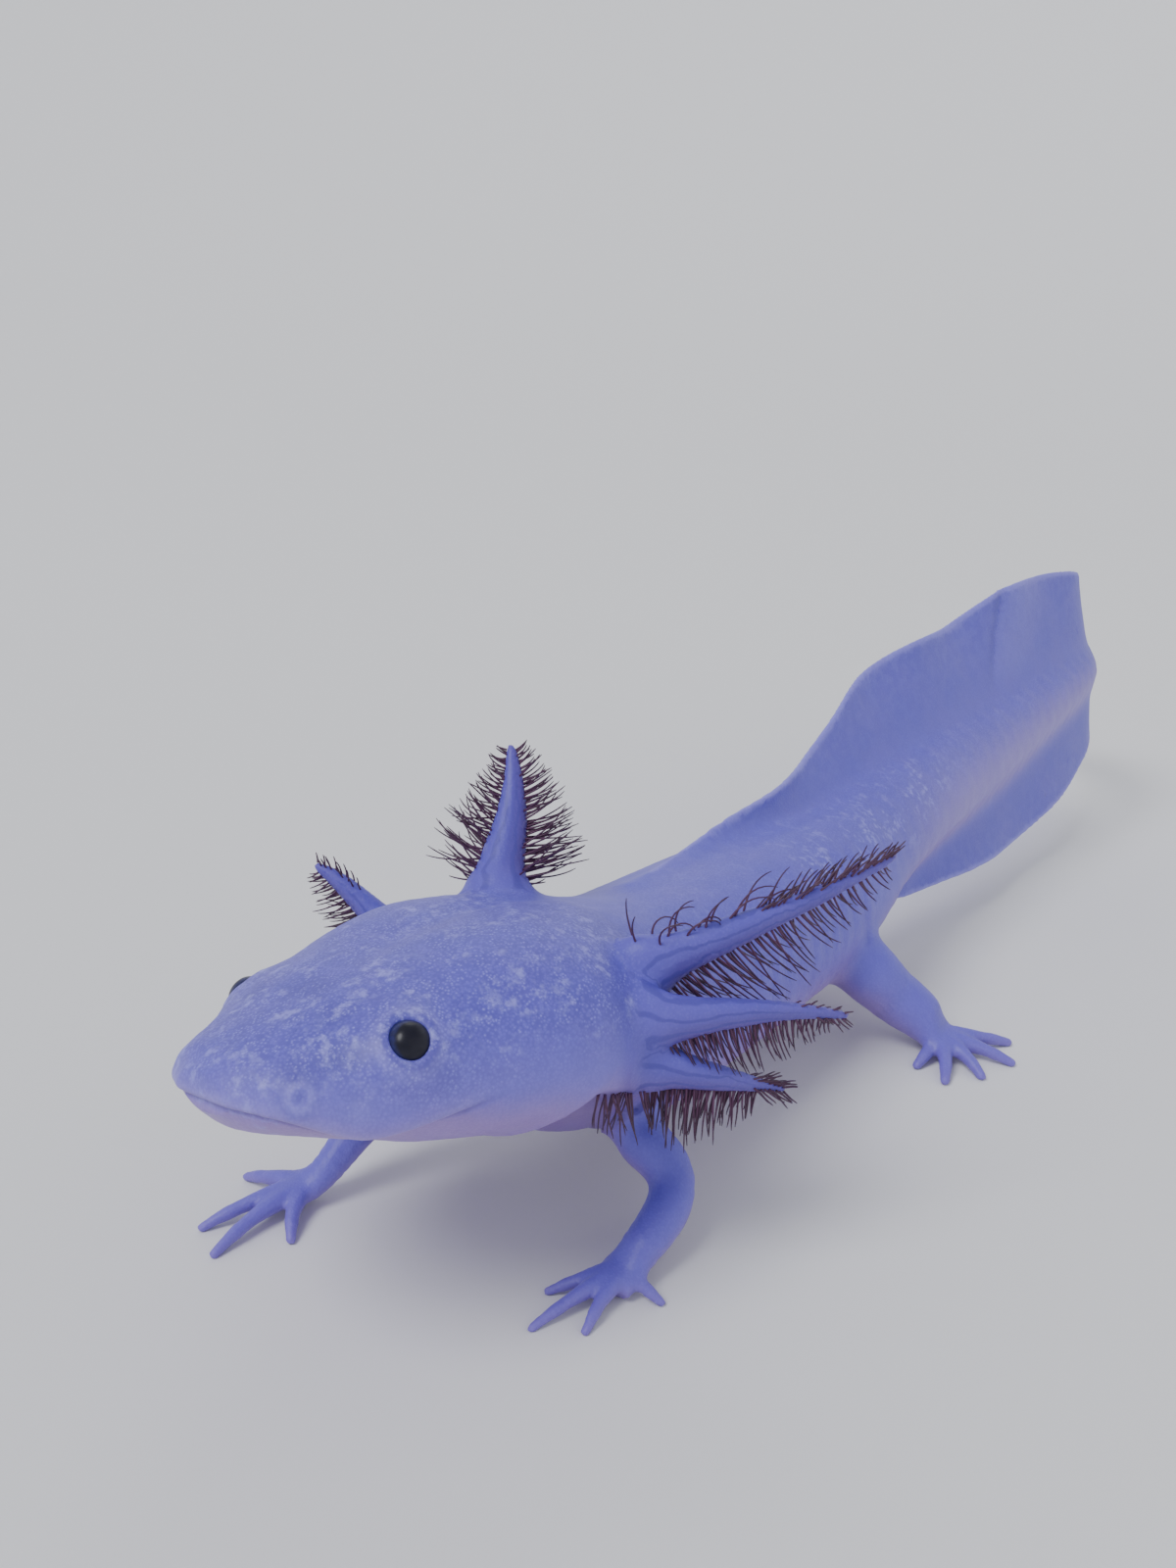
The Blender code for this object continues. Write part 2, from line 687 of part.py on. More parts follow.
def make_foot(leg, before_wrist, group, cutters, material):
    """Palm with its toes joined to it, cut flat underneath."""
    wrist = Vector(leg.wrist)
    arrive = (wrist - before_wrist).normalized()
    knuckles = Vector((leg.palm[0], leg.palm[1], PALM_HALF_HEIGHT - SOLE_SINK))
    start = wrist + arrive * GAP
    leave = Vector((knuckles.x - wrist.x, knuckles.y - wrist.y, 0.0)).normalized()
    handle = (start + knuckles) / 2 - Vector((0.0, 0.0, PALM_SAG))
    _, _, wrist_radius, palm_radius = leg.radii
    sections = []
    for i in range(LEG_RINGS):
        t = i / (LEG_RINGS - 1)
        centre, _ = leg_run(start, handle, knuckles + leave * PALM_PAST_KNUCKLES, t)
        direction = (arrive * (1.0 - t) + leave * t).normalized()
        spread = math.sin(math.pi * t * PALM_SPREAD)
        half_width = wrist_radius + (leg.palm_half_width - wrist_radius) * spread
        half_height = palm_radius + (PALM_HALF_HEIGHT - palm_radius) * t
        sections.append(oval(centre, direction, half_width, half_height, LEG_SIDES))
    name = f"leg_{leg.name}_foot"
    foot = new_object(name, lofted_mesh(name, sections), group, material)
    for index, tip in enumerate(leg.toes):
        toe = make_toe(f"toe_{leg.name}_{index + 1}", knuckles, Vector((*tip, 0.0)))
        cutter = new_object(toe.name, toe, cutters, material)
        hide_as_cutter(cutter)
        add_boolean(foot, cutter, "UNION")
    add_boolean(foot, bpy.data.objects["floor_cutter"], "DIFFERENCE")


def make_toe(name, knuckles, tip):
    """A tapered toe from inside the palm to its tip on the floor, arched a little."""
    inward = Vector((knuckles.x - tip.x, knuckles.y - tip.y, 0.0)).normalized()
    root = Vector((knuckles.x, knuckles.y, TOE_RADIUS)) + inward * TOE_ROOT_INSET
    end = Vector((tip.x, tip.y, TOE_TIP_RADIUS - SOLE_SINK)) + inward * TOE_TIP_RADIUS
    arch = (root + end) / 2 + Vector((0.0, 0.0, TOE_CURL))
    sections = []
    for i in range(TOE_RINGS):
        t = i / (TOE_RINGS - 1)
        centre, direction = leg_run(root, arch, end, t)
        radius = TOE_RADIUS + (TOE_TIP_RADIUS - TOE_RADIUS) * t
        sections.append(oval(centre, direction, radius, radius, TOE_SIDES))
    nib = end - inward * TOE_TIP_RADIUS
    nib_radius = TOE_TIP_RADIUS * TOE_NIB
    sections.append(oval(nib, inward * -1.0, nib_radius, nib_radius, TOE_SIDES))
    return lofted_mesh(name, sections)


def make_floor_cutter(cutters, material):
    mesh = bmesh.new()
    size = Vector(FLOOR_SIZE) * MM
    bmesh.ops.create_cube(mesh, size=1.0, matrix=Matrix.Diagonal(size).to_4x4())
    bmesh.ops.translate(mesh, verts=mesh.verts, vec=(0.0, FLOOR_MIDDLE_Y * MM, -size.z / 2))
    data = bpy.data.meshes.new("floor_cutter")
    mesh.to_mesh(data)
    mesh.free()
    hide_as_cutter(new_object("floor_cutter", data, cutters, material))


def put_origin_under_middle(group, cutters):
    """Moves everything so that the origin is under the middle of the whole model's box."""
    corners = []
    bpy.context.view_layer.update()
    graph = bpy.context.evaluated_depsgraph_get()
    for made in group.objects:
        mesh = made.evaluated_get(graph).to_mesh()
        corners.extend(vertex.co.copy() for vertex in mesh.vertices)
    low = Vector([min(corner[axis] for corner in corners) for axis in range(3)])
    high = Vector([max(corner[axis] for corner in corners) for axis in range(3)])
    shift = Vector(((low.x + high.x) / -2, (low.y + high.y) / -2, -low.z))
    for made in list(group.objects) + list(cutters.objects):
        made.data.transform(Matrix.Translation(shift))


def main():
    clear_scene()
    group = new_collection(NAME, hidden=False)
    cutters = new_collection("cutters", hidden=True)
    skin = new_material("skin", SKIN_COLOUR, 0.5)
    fin = new_material("fin", FIN_COLOUR, 0.45)
    gill = new_material("gill", GILL_COLOUR, 0.5)
    fringe = new_material("fringe", FRINGE_COLOUR, 0.55)
    eye = new_material("eye", EYE_COLOUR, 0.1)
    make_floor_cutter(cutters, skin)
    make_head(group, cutters, skin)
    make_jaw(group, skin)
    make_eyes(group, eye)
    make_core(group, skin)
    make_fins(group, fin)
    for one in GILLS:
        make_stalk(one, group, gill)
        make_fringe(one, group, fringe)
    for leg in LEGS:
        make_leg(leg, group, cutters, skin)
    put_origin_under_middle(group, cutters)


main()
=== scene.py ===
import logging
import math
from collections.abc import Callable, Iterator
from contextlib import contextmanager
from dataclasses import dataclass, field
from enum import Enum

import bmesh
import bpy
import numpy as np
from mathutils import Matrix, Vector
from mathutils.kdtree import KDTree


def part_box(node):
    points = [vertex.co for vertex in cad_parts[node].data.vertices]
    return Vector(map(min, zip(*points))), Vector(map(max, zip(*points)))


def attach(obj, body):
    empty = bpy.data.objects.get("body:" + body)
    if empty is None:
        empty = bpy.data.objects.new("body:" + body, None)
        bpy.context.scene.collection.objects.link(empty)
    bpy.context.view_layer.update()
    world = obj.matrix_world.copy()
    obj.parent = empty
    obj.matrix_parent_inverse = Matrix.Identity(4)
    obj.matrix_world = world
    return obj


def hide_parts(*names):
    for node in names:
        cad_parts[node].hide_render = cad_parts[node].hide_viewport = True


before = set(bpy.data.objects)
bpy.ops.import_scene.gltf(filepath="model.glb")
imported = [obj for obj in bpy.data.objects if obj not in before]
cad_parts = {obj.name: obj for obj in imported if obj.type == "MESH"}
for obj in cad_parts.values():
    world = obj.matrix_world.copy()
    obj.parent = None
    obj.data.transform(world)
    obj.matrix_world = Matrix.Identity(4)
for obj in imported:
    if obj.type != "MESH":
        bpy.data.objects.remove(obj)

log = logging.getLogger("axolotl")
MM = 0.001
HALVINGS = 40
Thing = bpy.types.Object
Rows = np.ndarray
Section = list[Vector]
Place = tuple[float, float, float]
Pair = tuple[float, float]
Colour = tuple[float, float, float, float]


class Side(Enum):
    """The animal's two sides, as the sign of its left-pointing axis."""

    LEFT = 1
    RIGHT = -1

    @property
    def word(self) -> str:
        """The side's name as the nodes spell it."""
        return self.name.lower()


class Flesh(Enum):
    """What a stretch of the skin covers."""

    CORE = 0
    FIN = 1
    STALK = 2
    LIMB = 3
    TOE = 4


# ---------------- modelling by hand


def deselect() -> None:
    """Leaves nothing selected, in object mode."""
    if bpy.context.object and bpy.context.mode != "OBJECT":
        bpy.ops.object.mode_set(mode="OBJECT")
    for thing in bpy.context.selected_objects:
        thing.select_set(False)


def pick(thing: Thing) -> None:
    """Makes one object the only selected and active one.

    Args:
        thing: the object to pick.
    """
    deselect()
    thing.select_set(True)
    bpy.context.view_layer.objects.active = thing


@contextmanager
def editing() -> Iterator[None]:
    """Edit mode on the active object, for as long as the block lasts."""
    bpy.ops.object.mode_set(mode="EDIT")
    try:
        yield
    finally:
        bpy.ops.object.mode_set(mode="OBJECT")


def close_outwards() -> None:
    """Points every face of the active object out."""
    with editing():
        bpy.ops.mesh.select_all(action="SELECT")
        bpy.ops.mesh.normals_make_consistent(inside=False)


def shape_loop(thing: Thing, old: Section | None, new: Section) -> None:
    """Moves the selected loop of an object in edit mode onto a section.

    Args:
        thing: the object being edited.
        old: where the loop lies now, or None for the primitive's own order.
        new: where each of its points goes.
    """
    mesh = bmesh.from_edit_mesh(thing.data)
    chosen = [vertex for vertex in mesh.verts if vertex.select]
    if old is None:
        order = {vertex.index: place for place, vertex in enumerate(chosen)}
    else:
        places = {tuple(round(value, 7) for value in point): i for i, point in enumerate(old)}
        order = {
            vertex.index: places[tuple(round(value, 7) for value in vertex.co)] for vertex in chosen
        }
    for vertex in chosen:
        vertex.co = new[order[vertex.index]]
    bmesh.update_edit_mesh(thing.data)


def extruded_run(name: str, sections: list[Section]) -> Thing:
    """Draws a closed run out of one n-sided face, section by section.

    Args:
        name: the new object's name.
        sections: rings of equal count, in metres.

    Returns:
        The closed object, with its faces pointing out.
    """
    sections = [[Vector(np.float32(point)) for point in section] for section in sections]
    deselect()
    bpy.ops.mesh.primitive_circle_add(vertices=len(sections[0]), radius=MM, fill_type="NGON")
    made = bpy.context.object
    made.name = name
    with editing():
        bpy.ops.mesh.select_all(action="SELECT")
        shape_loop(made, None, sections[0])
        for before, after in zip(sections, sections[1:]):
            bpy.ops.mesh.extrude_region_move()
            shape_loop(made, before, after)
    close_outwards()
    return made


def finish_modifier(thing: Thing, kind: str, **settings: object) -> None:
    """Adds one modifier to an object and applies it.

    Args:
        thing: the object.
        kind: the modifier's type.
        settings: the modifier's own settings.
    """
    pick(thing)
    modifier = thing.modifiers.new(kind.title(), kind)
    for key, value in settings.items():
        setattr(modifier, key, value)
    bpy.ops.object.modifier_apply(modifier=modifier.name)


def joined(name: str, things: list[Thing]) -> Thing:
    """Joins objects into one.

    Args:
        name: the joined object's name.
        things: the objects, the first of which takes in the rest.

    Returns:
        The first object.
    """
    pick(things[0])
    for thing in things[1:]:
        thing.select_set(True)
    bpy.ops.object.join()
    things[0].name = name
    things[0].data.name = name
    return things[0]


def read_points(thing: Thing) -> Rows:
    """Every vertex of an object as rows of millimetres.

    Args:
        thing: the object.

    Returns:
        One row per vertex.
    """
    values = np.empty(len(thing.data.vertices) * 3, np.float32)
    thing.data.vertices.foreach_get("co", values)
    return values.reshape(-1, 3).astype(np.float64) / MM


def read_normals(thing: Thing) -> Rows:
    """Every vertex normal of an object.

    Args:
        thing: the object.

    Returns:
        One row per vertex.
    """
    values = np.empty(len(thing.data.vertices) * 3, np.float32)
    thing.data.vertex_normals.foreach_get("vector", values)
    return values.reshape(-1, 3).astype(np.float64)


def write_points(thing: Thing, points: Rows) -> None:
    """Puts rows of millimetres back as an object's vertices."""
    thing.data.vertices.foreach_set("co", (points * MM).astype(np.float32).ravel())
    thing.data.update()


def smooth_step(low: float, high: float, value: Rows) -> Rows:
    """0 below low, 1 above high and smooth between."""
    t = np.clip((value - low) / (high - low), 0.0, 1.0)
    return t * t * (3 - 2 * t)


def hill(distance: Rows, width: float) -> Rows:
    """1 at no distance, falling away over a width."""
    return np.exp(-((distance / width) ** 2))


def swell(size: Pair, away: Rows) -> Rows:
    """A soft form of this height and width, or a hollow where its height is negative."""
    return size[0] * hill(away, size[1])


def halved(low: float, high: float, holds: Callable[[float], bool]) -> float:
    """Closes in on the value up to which a test holds.

    Args:
        low: a value at which it holds.
        high: a value at which it doesn't.
        holds: the test.

    Returns:
        The largest value found at which it holds.
    """
    for _ in range(HALVINGS):
        middle = (low + high) / 2
        if holds(middle):
            low = middle
        else:
            high = middle
    return low


# ---------------- the shape of the body


@dataclass
class Ring:
    """One cross-section of the body, in millimetres."""

    centre: Vector
    left: Vector
    up: Vector
    half_width: float
    rise: float
    drop: float
    fullness: float
    top_fin: float = 0.0
    low_fin: float = 0.0


@dataclass
class HeadPose:
    """Where the head is and how it is turned.

    The head's own places are (left, ahead, up) from a point at chin level under the snout tip.
    """

    snout_tip: Vector = field(default_factory=lambda: Vector((-0.2, -62.3, 20.5)))
    snout_height: float = 5.0
    yaw: float = math.radians(4.0)
    pitch: float = math.radians(8.2)
    roll: float = math.radians(10.3)

    def __post_init__(self) -> None:
        """Works out the head's axes."""
        flat = math.cos(self.pitch)
        self.ahead = Vector(
            (-math.sin(self.yaw) * flat, -math.cos(self.yaw) * flat, math.sin(self.pitch))
        )
        level_left = Vector((math.cos(self.yaw), -math.sin(self.yaw), 0.0))
        level_up = self.ahead.cross(level_left)
        self.left = level_left * math.cos(self.roll) + level_up * math.sin(self.roll)
        self.up = self.ahead.cross(self.left)
        self.origin = self.snout_tip - self.up * self.snout_height

    def place(self, left: float, ahead: float, up: float) -> Vector:
        """A point of the head in the body's frame."""
        return self.origin + self.left * left + self.ahead * ahead + self.up * up

    def local(self, points: Rows) -> Rows:
        """Rows of body points as rows of (left, ahead, up)."""
        axes = np.array([self.left, self.ahead, self.up]).T
        return (points - np.array(self.origin)) @ axes


@dataclass
class BodyForm:
    """The whole run of the body from snout to tail tip, in millimetres.

    A head ring is (behind the snout, half width, crown, chin, widest height). A body ring is (x,
    y, z, half width, rise, drop, lean in degrees, top fin, low fin).
    """

    pose: HeadPose = field(default_factory=HeadPose)
    head_rings: tuple[tuple[float, ...], ...] = (
        (1.6, 2.6, 7.9, 5.1, 6.4),
        (2.2, 4.3, 8.6, 4.3, 6.3),
        (3.6, 6.1, 9.3, 3.6, 6.2),
        (6.0, 7.7, 10.3, 2.8, 6.1),
        (9.5, 9.6, 11.7, 1.8, 6.1),
        (14.0, 11.4, 13.0, 0.8, 6.2),
        (19.0, 13.4, 14.2, 0.0, 6.6),
        (23.5, 14.2, 14.9, -1.1, 6.9),
        (27.5, 13.4, 15.0, -2.8, 7.2),
        (31.0, 11.6, 14.7, -3.9, 7.3),
        (33.5, 10.3, 14.2, -4.2, 7.3),
    )
    body_rings: tuple[tuple[float, ...], ...] = (
        (1.9, -24.0, 15.6, 9.8, 7.8, 11.0, 11.5, 0.0, 0.0),
        (1.5, -17.0, 14.2, 10.0, 8.2, 9.8, 12.0, 0.3, 0.0),
        (1.0, -9.0, 13.4, 10.2, 8.5, 9.0, 13.0, 0.9, 0.0),
        (0.6, 0.0, 12.8, 9.8, 8.7, 8.6, 14.0, 1.9, 0.0),
        (0.9, 9.0, 12.6, 8.6, 8.7, 8.0, 16.0, 3.1, 0.0),
        (1.1, 16.0, 12.8, 7.4, 8.4, 6.4, 19.0, 4.3, 0.0),
        (1.0, 23.0, 13.6, 5.8, 8.0, 5.2, 22.0, 5.8, 1.0),
        (0.8, 33.0, 15.2, 4.7, 7.2, 4.8, 23.0, 9.6, 3.5),
        (0.6, 45.0, 16.8, 3.8, 6.4, 4.9, 22.0, 11.0, 6.0),
        (0.4, 57.0, 18.2, 3.2, 5.6, 4.7, 20.0, 11.1, 7.7),
        (0.3, 69.0, 20.0, 2.7, 4.8, 4.2, 17.0, 12.8, 8.6),
        (0.2, 81.0, 21.6, 2.3, 4.0, 3.6, 14.0, 12.4, 8.6),
        (-0.6, 91.0, 22.4, 1.9, 3.2, 3.0, 12.0, 11.3, 7.5),
        (-4.0, 99.0, 22.4, 1.6, 2.5, 2.4, 11.0, 9.0, 6.0),
        (-9.5, 104.5, 21.6, 1.2, 1.7, 1.7, 10.0, 6.4, 4.2),
        (-14.5, 107.0, 20.8, 0.8, 1.0, 1.0, 10.0, 3.2, 2.2),
        (-18.0, 108.0, 20.3, 0.5, 0.6, 0.6, 10.0, 0.5, 0.5),
    )
    trunk_fullness: float = 2.25
    tail_fullness: float = 1.75
    trunk_end_y: float = -6.0
    tail_middle_y: float = 45.0
    fin_start_y: float = -20.0
    low_fin_start_y: float = 23.0
    fin_root_thickness: float = 1.3
    fin_membrane: float = 0.56
    fin_rim: float = 0.64
    fin_ripple: float = 0.5
    fin_ripple_length: float = 21.0
    cut_gap: float = 0.3
    leg_root_gap: float = 0.5
    flank_reach: float = 1.4

    def __post_init__(self) -> None:
        """Sets every stated ring in place along the middle line."""
        self.rings: list[Ring] = []
        for behind, half_width, crown, chin, widest in self.head_rings:
            centre = self.pose.place(0.0, -behind, widest)
            sizes = (half_width, crown - widest, widest - chin, self.trunk_fullness)
            self.rings.append(Ring(centre, self.pose.left, self.pose.up, *sizes))
        centres = [Vector(row[:3]) for row in self.body_rings]
        for index, row in enumerate(self.body_rings):
            before = centres[index - 1] if index else self.rings[-1].centre
            after = centres[min(index + 1, len(centres) - 1)]
            backward = (after - before).normalized()
            half_width, rise, drop, lean, top_fin, low_fin = row[3:]
            level_left = backward.cross(Vector((0.0, 0.0, 1.0))).normalized()
            level_up = level_left.cross(backward)
            lean = math.radians(lean)
            left = level_left * math.cos(lean) + level_up * math.sin(lean)
            up = level_up * math.cos(lean) - level_left * math.sin(lean)
            sizes = (half_width, rise, drop, self.fullness_at(row[1]), top_fin, low_fin)
            self.rings.append(Ring(centres[index], left, up, *sizes))
        self.places = [0.0]
        for before, after in zip(self.rings, self.rings[1:]):
            self.places.append(self.places[-1] + (after.centre - before.centre).length)
        self.length = self.places[-1]
        self.head_end = self.places[len(self.head_rings) - 1]

    def fullness_at(self, y: float) -> float:
        """How square the section is: full in the trunk and sharper in the tail."""
        along = min(max((y - self.trunk_end_y) / (self.tail_middle_y - self.trunk_end_y), 0.0), 1.0)
        return self.trunk_fullness + (self.tail_fullness - self.trunk_fullness) * along

    def blend(self, place: float, name: str) -> Vector | float:
        """Smooth curve through one value of every ring, read at a distance along the body.

        Args:
            place: millimetres along the body.
            name: the ring's value that is read.

        Returns:
            The value there.
        """
        place = min(max(place, 0.0), self.length)
        index = max(i for i, start in enumerate(self.places[:-1]) if start <= place)
        span = self.places[index + 1] - self.places[index]
        t = (place - self.places[index]) / span
        values = [getattr(ring, name) for ring in self.rings]

        def slope(at: int) -> Vector | float:
            """Rate of change at a ring.

            Args:
                at: the ring's number.

            Returns:
                Change of the value per millimetre.
            """
            low = max(at - 1, 0)
            high = min(at + 1, len(values) - 1)
            return (values[high] - values[low]) / (self.places[high] - self.places[low])

        start = values[index] * (2 * t**3 - 3 * t**2 + 1)
        end = values[index + 1] * (3 * t**2 - 2 * t**3)
        leave = slope(index) * (span * (t**3 - 2 * t**2 + t))
        arrive = slope(index + 1) * (span * (t**3 - t**2))
        return start + end + leave + arrive

    def ring_at(self, place: float) -> Ring:
        """The body's cross-section at a distance along it.

        Args:
            place: millimetres along the body.

        Returns:
            A ring with every value blended.
        """
        left = self.blend(place, "left").normalized()
        up = self.blend(place, "up")
        up = (up - left * up.dot(left)).normalized()
        sizes = [self.blend(place, name) for name in ("half_width", "rise", "drop", "fullness")]
        fins = [max(self.blend(place, name), 0.0) for name in ("top_fin", "low_fin")]
        return Ring(self.blend(place, "centre"), left, up, *sizes, *fins)

    def place_of_y(self, y: float) -> float:
        """Distance along the body at which its middle line passes this y."""
        return halved(self.head_end, self.length, lambda at: self.blend(at, "centre").y < y)

    def place_in_head(self, ahead: float) -> float:
        """Distance along the body of the ring this far ahead in the head.

        Args:
            ahead: millimetres ahead in the head, negative behind.

        Returns:
            Millimetres along the body.
        """

        def is_ahead(place: float) -> bool:
            """Whether the middle line is still further ahead there."""
            return (self.blend(place, "centre") - self.pose.origin).dot(self.pose.ahead) > ahead

        return halved(0.0, self.head_end, is_ahead)

    def outline(self, place: float, angle: float) -> Vector:
        """Point of the surface at an angle round the ring, from the left side over the back.

        Args:
            place: millimetres along the body.
            angle: radians round the ring.

        Returns:
            The point.
        """
        ring = self.ring_at(place)
        across, along = math.cos(angle), math.sin(angle)
        power = 2.0 / ring.fullness
        width = ring.half_width * math.copysign(abs(across) ** power, across)
        reach = ring.rise if along > 0 else ring.drop
        height = reach * math.copysign(abs(along) ** power, along)
        return ring.centre + ring.left * width + ring.up * height

    def outward(self, place: float, angle: float) -> Vector:
        """Direction straight out of the surface.

        Args:
            place: millimetres along the body.
            angle: radians round the ring.

        Returns:
            The surface's own direction, a unit long.
        """
        step = 0.05
        along = self.outline(place + step, angle) - self.outline(place - step, angle)
        around = self.outline(place, angle + step) - self.outline(place, angle - step)
        normal = along.cross(around).normalized()
        away = self.outline(place, angle) - self.ring_at(place).centre
        return normal if normal.dot(away) > 0 else normal * -1.0

    def flank_angle(self, place: float, side: Side, height: float) -> float:
        """Angle round a ring of the head at which its flank has this height over the chin.

        Args:
            place: millimetres along the body.
            side: which flank.
            height: millimetres over the chin.

        Returns:
            The angle, in radians.
        """

        def on_side(angle: float) -> float:
            """The angle as it is on this side of the head."""
            return angle if side is Side.LEFT else math.pi - angle

        def is_low(angle: float) -> bool:
            """Whether the flank is still below the height there."""
            point = self.outline(place, on_side(angle)) - self.pose.origin
            return point.dot(self.pose.up) < height

        return on_side(halved(-self.flank_reach, self.flank_reach, is_low))


def bezier(handles: tuple[Vector, ...], t: float) -> tuple[Vector, Vector]:
    """Point and direction on a cubic curve through four handles.

    Args:
        handles: the four handles.
        t: 0 at the first and 1 at the last.

    Returns:
        The point, and the direction a unit long.
    """
    a, b, c, d = handles
    s = 1.0 - t
    point = a * s**3 + b * (3 * s * s * t) + c * (3 * s * t * t) + d * t**3
    direction = (b - a) * (s * s) + (c - b) * (2 * s * t) + (d - c) * (t * t)
    return point, direction.normalized()


def section_axes(direction: Vector) -> tuple[Vector, Vector]:
    """The level direction across a line, and the one square to both.

    Args:
        direction: the way the line runs.

    Returns:
        Both directions, a unit long.
    """
    across = direction.cross(Vector((0.0, 0.0, 1.0)))
    if across.length < 0.1:
        across = direction.cross(Vector((1.0, 0.0, 0.0)))
    across.normalize()
    return across, across.cross(direction).normalized()


def round_section(
    centre: Vector,
    direction: Vector,
    half_width: float,
    half_height: float,
    sides: int,
) -> Section:
    """An oval ring of points round a line, level across.

    Args:
        centre: the middle of the ring.
        direction: the way the line runs.
        half_width: half its level width.
        half_height: half its height.
        sides: how many points it has.

    Returns:
        The ring's points.
    """
    across, over = section_axes(direction)
    return [
        centre
        + across * (half_width * math.cos(2 * math.pi * i / sides))
        + over * (half_height * math.sin(2 * math.pi * i / sides))
        for i in range(sides)
    ]


@dataclass
class Run:
    """One stretch of flesh: its sections, and what and how far along each section is."""

    name: str
    flesh: Flesh
    sections: list[Section]
    along: list[float]
    hang: Vector = field(default_factory=Vector)


# ---------------- gills


@dataclass(frozen=True)
class Row:
    """One double row of filaments along a stalk, in millimetres and radians.

    side is 1 where the filaments hang and -1 opposite. fan parts the two files of the row, lean
    tips the threads towards the stalk's own tip, and hook bends each one on the way to its end.
    """

    side: int
    start: float
    end: float
    count: int
    longest: float
    shortest: float
    peak: float = 0.35
    fan: float = 0.3
    lean: float = 0.35
    hook: float = 0.5
    untidy: float = 0.12

    def length(self, along: float) -> float:
        """How long a thread is at this share of the row."""
        away = (along - self.peak) / (self.peak if along < self.peak else 1.0 - self.peak)
        return self.shortest + (self.longest - self.shortest) * (1.0 - abs(away) ** 1.7)


@dataclass
class Gill:
    """One gill stalk and its rows of filaments, in millimetres.

    behind and height say where its root is on the head, bow how its middle is pulled aside and
    hang which way its filaments hang. taper and blade say how it thins towards its tip and how
    flat it is, and flare how much it widens at the root. A low gill's filaments start on a web
    that reaches forward to this point of the jaw, so their rows begin at a negative share.
    """

    side: Side
    word: str
    behind: float
    height: float
    tip: Place
    bow: Place
    root_radius: float
    rows: tuple[Row, ...]
    hang: Place = (0.0, 0.0, -1.0)
    tip_radius: float = 0.32
    taper: float = 1.12
    flare: float = 0.75
    flare_reach: float = 0.12
    blade: float = 0.66
    leave: float = 3.2
    web: Place | None = None
    web_span: float = 0.3
    web_depth: float = 0.85
    inside: float = 2.2
    tip_rounding: float = 0.6
    stalk_rings: int = 26
    stalk_sides: int = 20

    @property
    def node(self) -> str:
        """The name of the stalk's node."""
        return f"gill_{self.side.word}_{self.word}"

    def curve(self, body: BodyForm) -> tuple[Vector, ...]:
        """Handles of the stalk: it leaves the head squarely, then sweeps to its tip.

        Args:
            body: the body that it grows from.

        Returns:
            Four handles.
        """
        place = body.place_in_head(-self.behind)
        angle = body.flank_angle(place, self.side, self.height)
        out = body.outward(place, angle)
        root = body.outline(place, angle) + out * body.cut_gap
        tip = Vector(self.tip)
        return root, root + out * self.leave, (root + tip) * 0.5 + Vector(self.bow), tip

    def radius(self, t: float) -> float:
        """Half the stalk's height along it, flaring where it joins the head.

        Args:
            t: share of the stalk, negative on the web.

        Returns:
            Millimetres.
        """
        if t < 0.0:
            root = self.radius(0.0)
            return root + (self.web_depth - root) * min(-t / self.web_span, 1.0)
        slim = self.tip_radius + (self.root_radius - self.tip_radius) * (1.0 - t) ** self.taper
        return slim + self.flare * math.exp(-((t / self.flare_reach) ** 2))

    def at(self, body: BodyForm, handles: tuple[Vector, ...], t: float) -> tuple[Vector, Vector]:
        """Point and direction along the stalk, or before its root along the web from the jaw.

        Args:
            body: the body that it grows from.
            handles: the stalk's curve.
            t: share of the stalk, negative on the web.

        Returns:
            The point, and the direction a unit long.
        """
        if t >= 0.0 or self.web is None:
            return bezier(handles, max(t, 0.0))
        left, ahead, up = self.web
        start = body.pose.place(left * self.side.value, ahead, up)
        return handles[0].lerp(start, -t / self.web_span), (handles[0] - start).normalized()

    def hanging(self, direction: Vector) -> Vector:
        """The way the filaments hang, square to the stalk."""
        hang = Vector(self.hang)
        return (hang - direction * hang.dot(direction)).normalized()

    def stalk(self, body: BodyForm) -> Run:
        """The stalk's flesh, from inside the head to its rounded tip.

        Args:
            body: the body that it grows from.

        Returns:
            The run of its sections.
        """
        handles = self.curve(body)
        inside = (handles[0] - handles[1]).normalized() * self.inside
        rings = [(handles[0] + inside, -inside, self.radius(0.0))]
        along = [0.0]
        for i in range(self.stalk_rings):
            t = i / (self.stalk_rings - 1)
            centre, direction = bezier(handles, t)
            end = self.tip_rounding if i == self.stalk_rings - 1 else 1.0
            rings.append((centre, direction, self.radius(t) * end))
            along.append(t)
        sections = [
            round_section(centre, direction, radius * self.blade, radius, self.stalk_sides)
            for centre, direction, radius in rings
        ]
        return Run(self.node, Flesh.STALK, sections, along, Vector(self.hang))


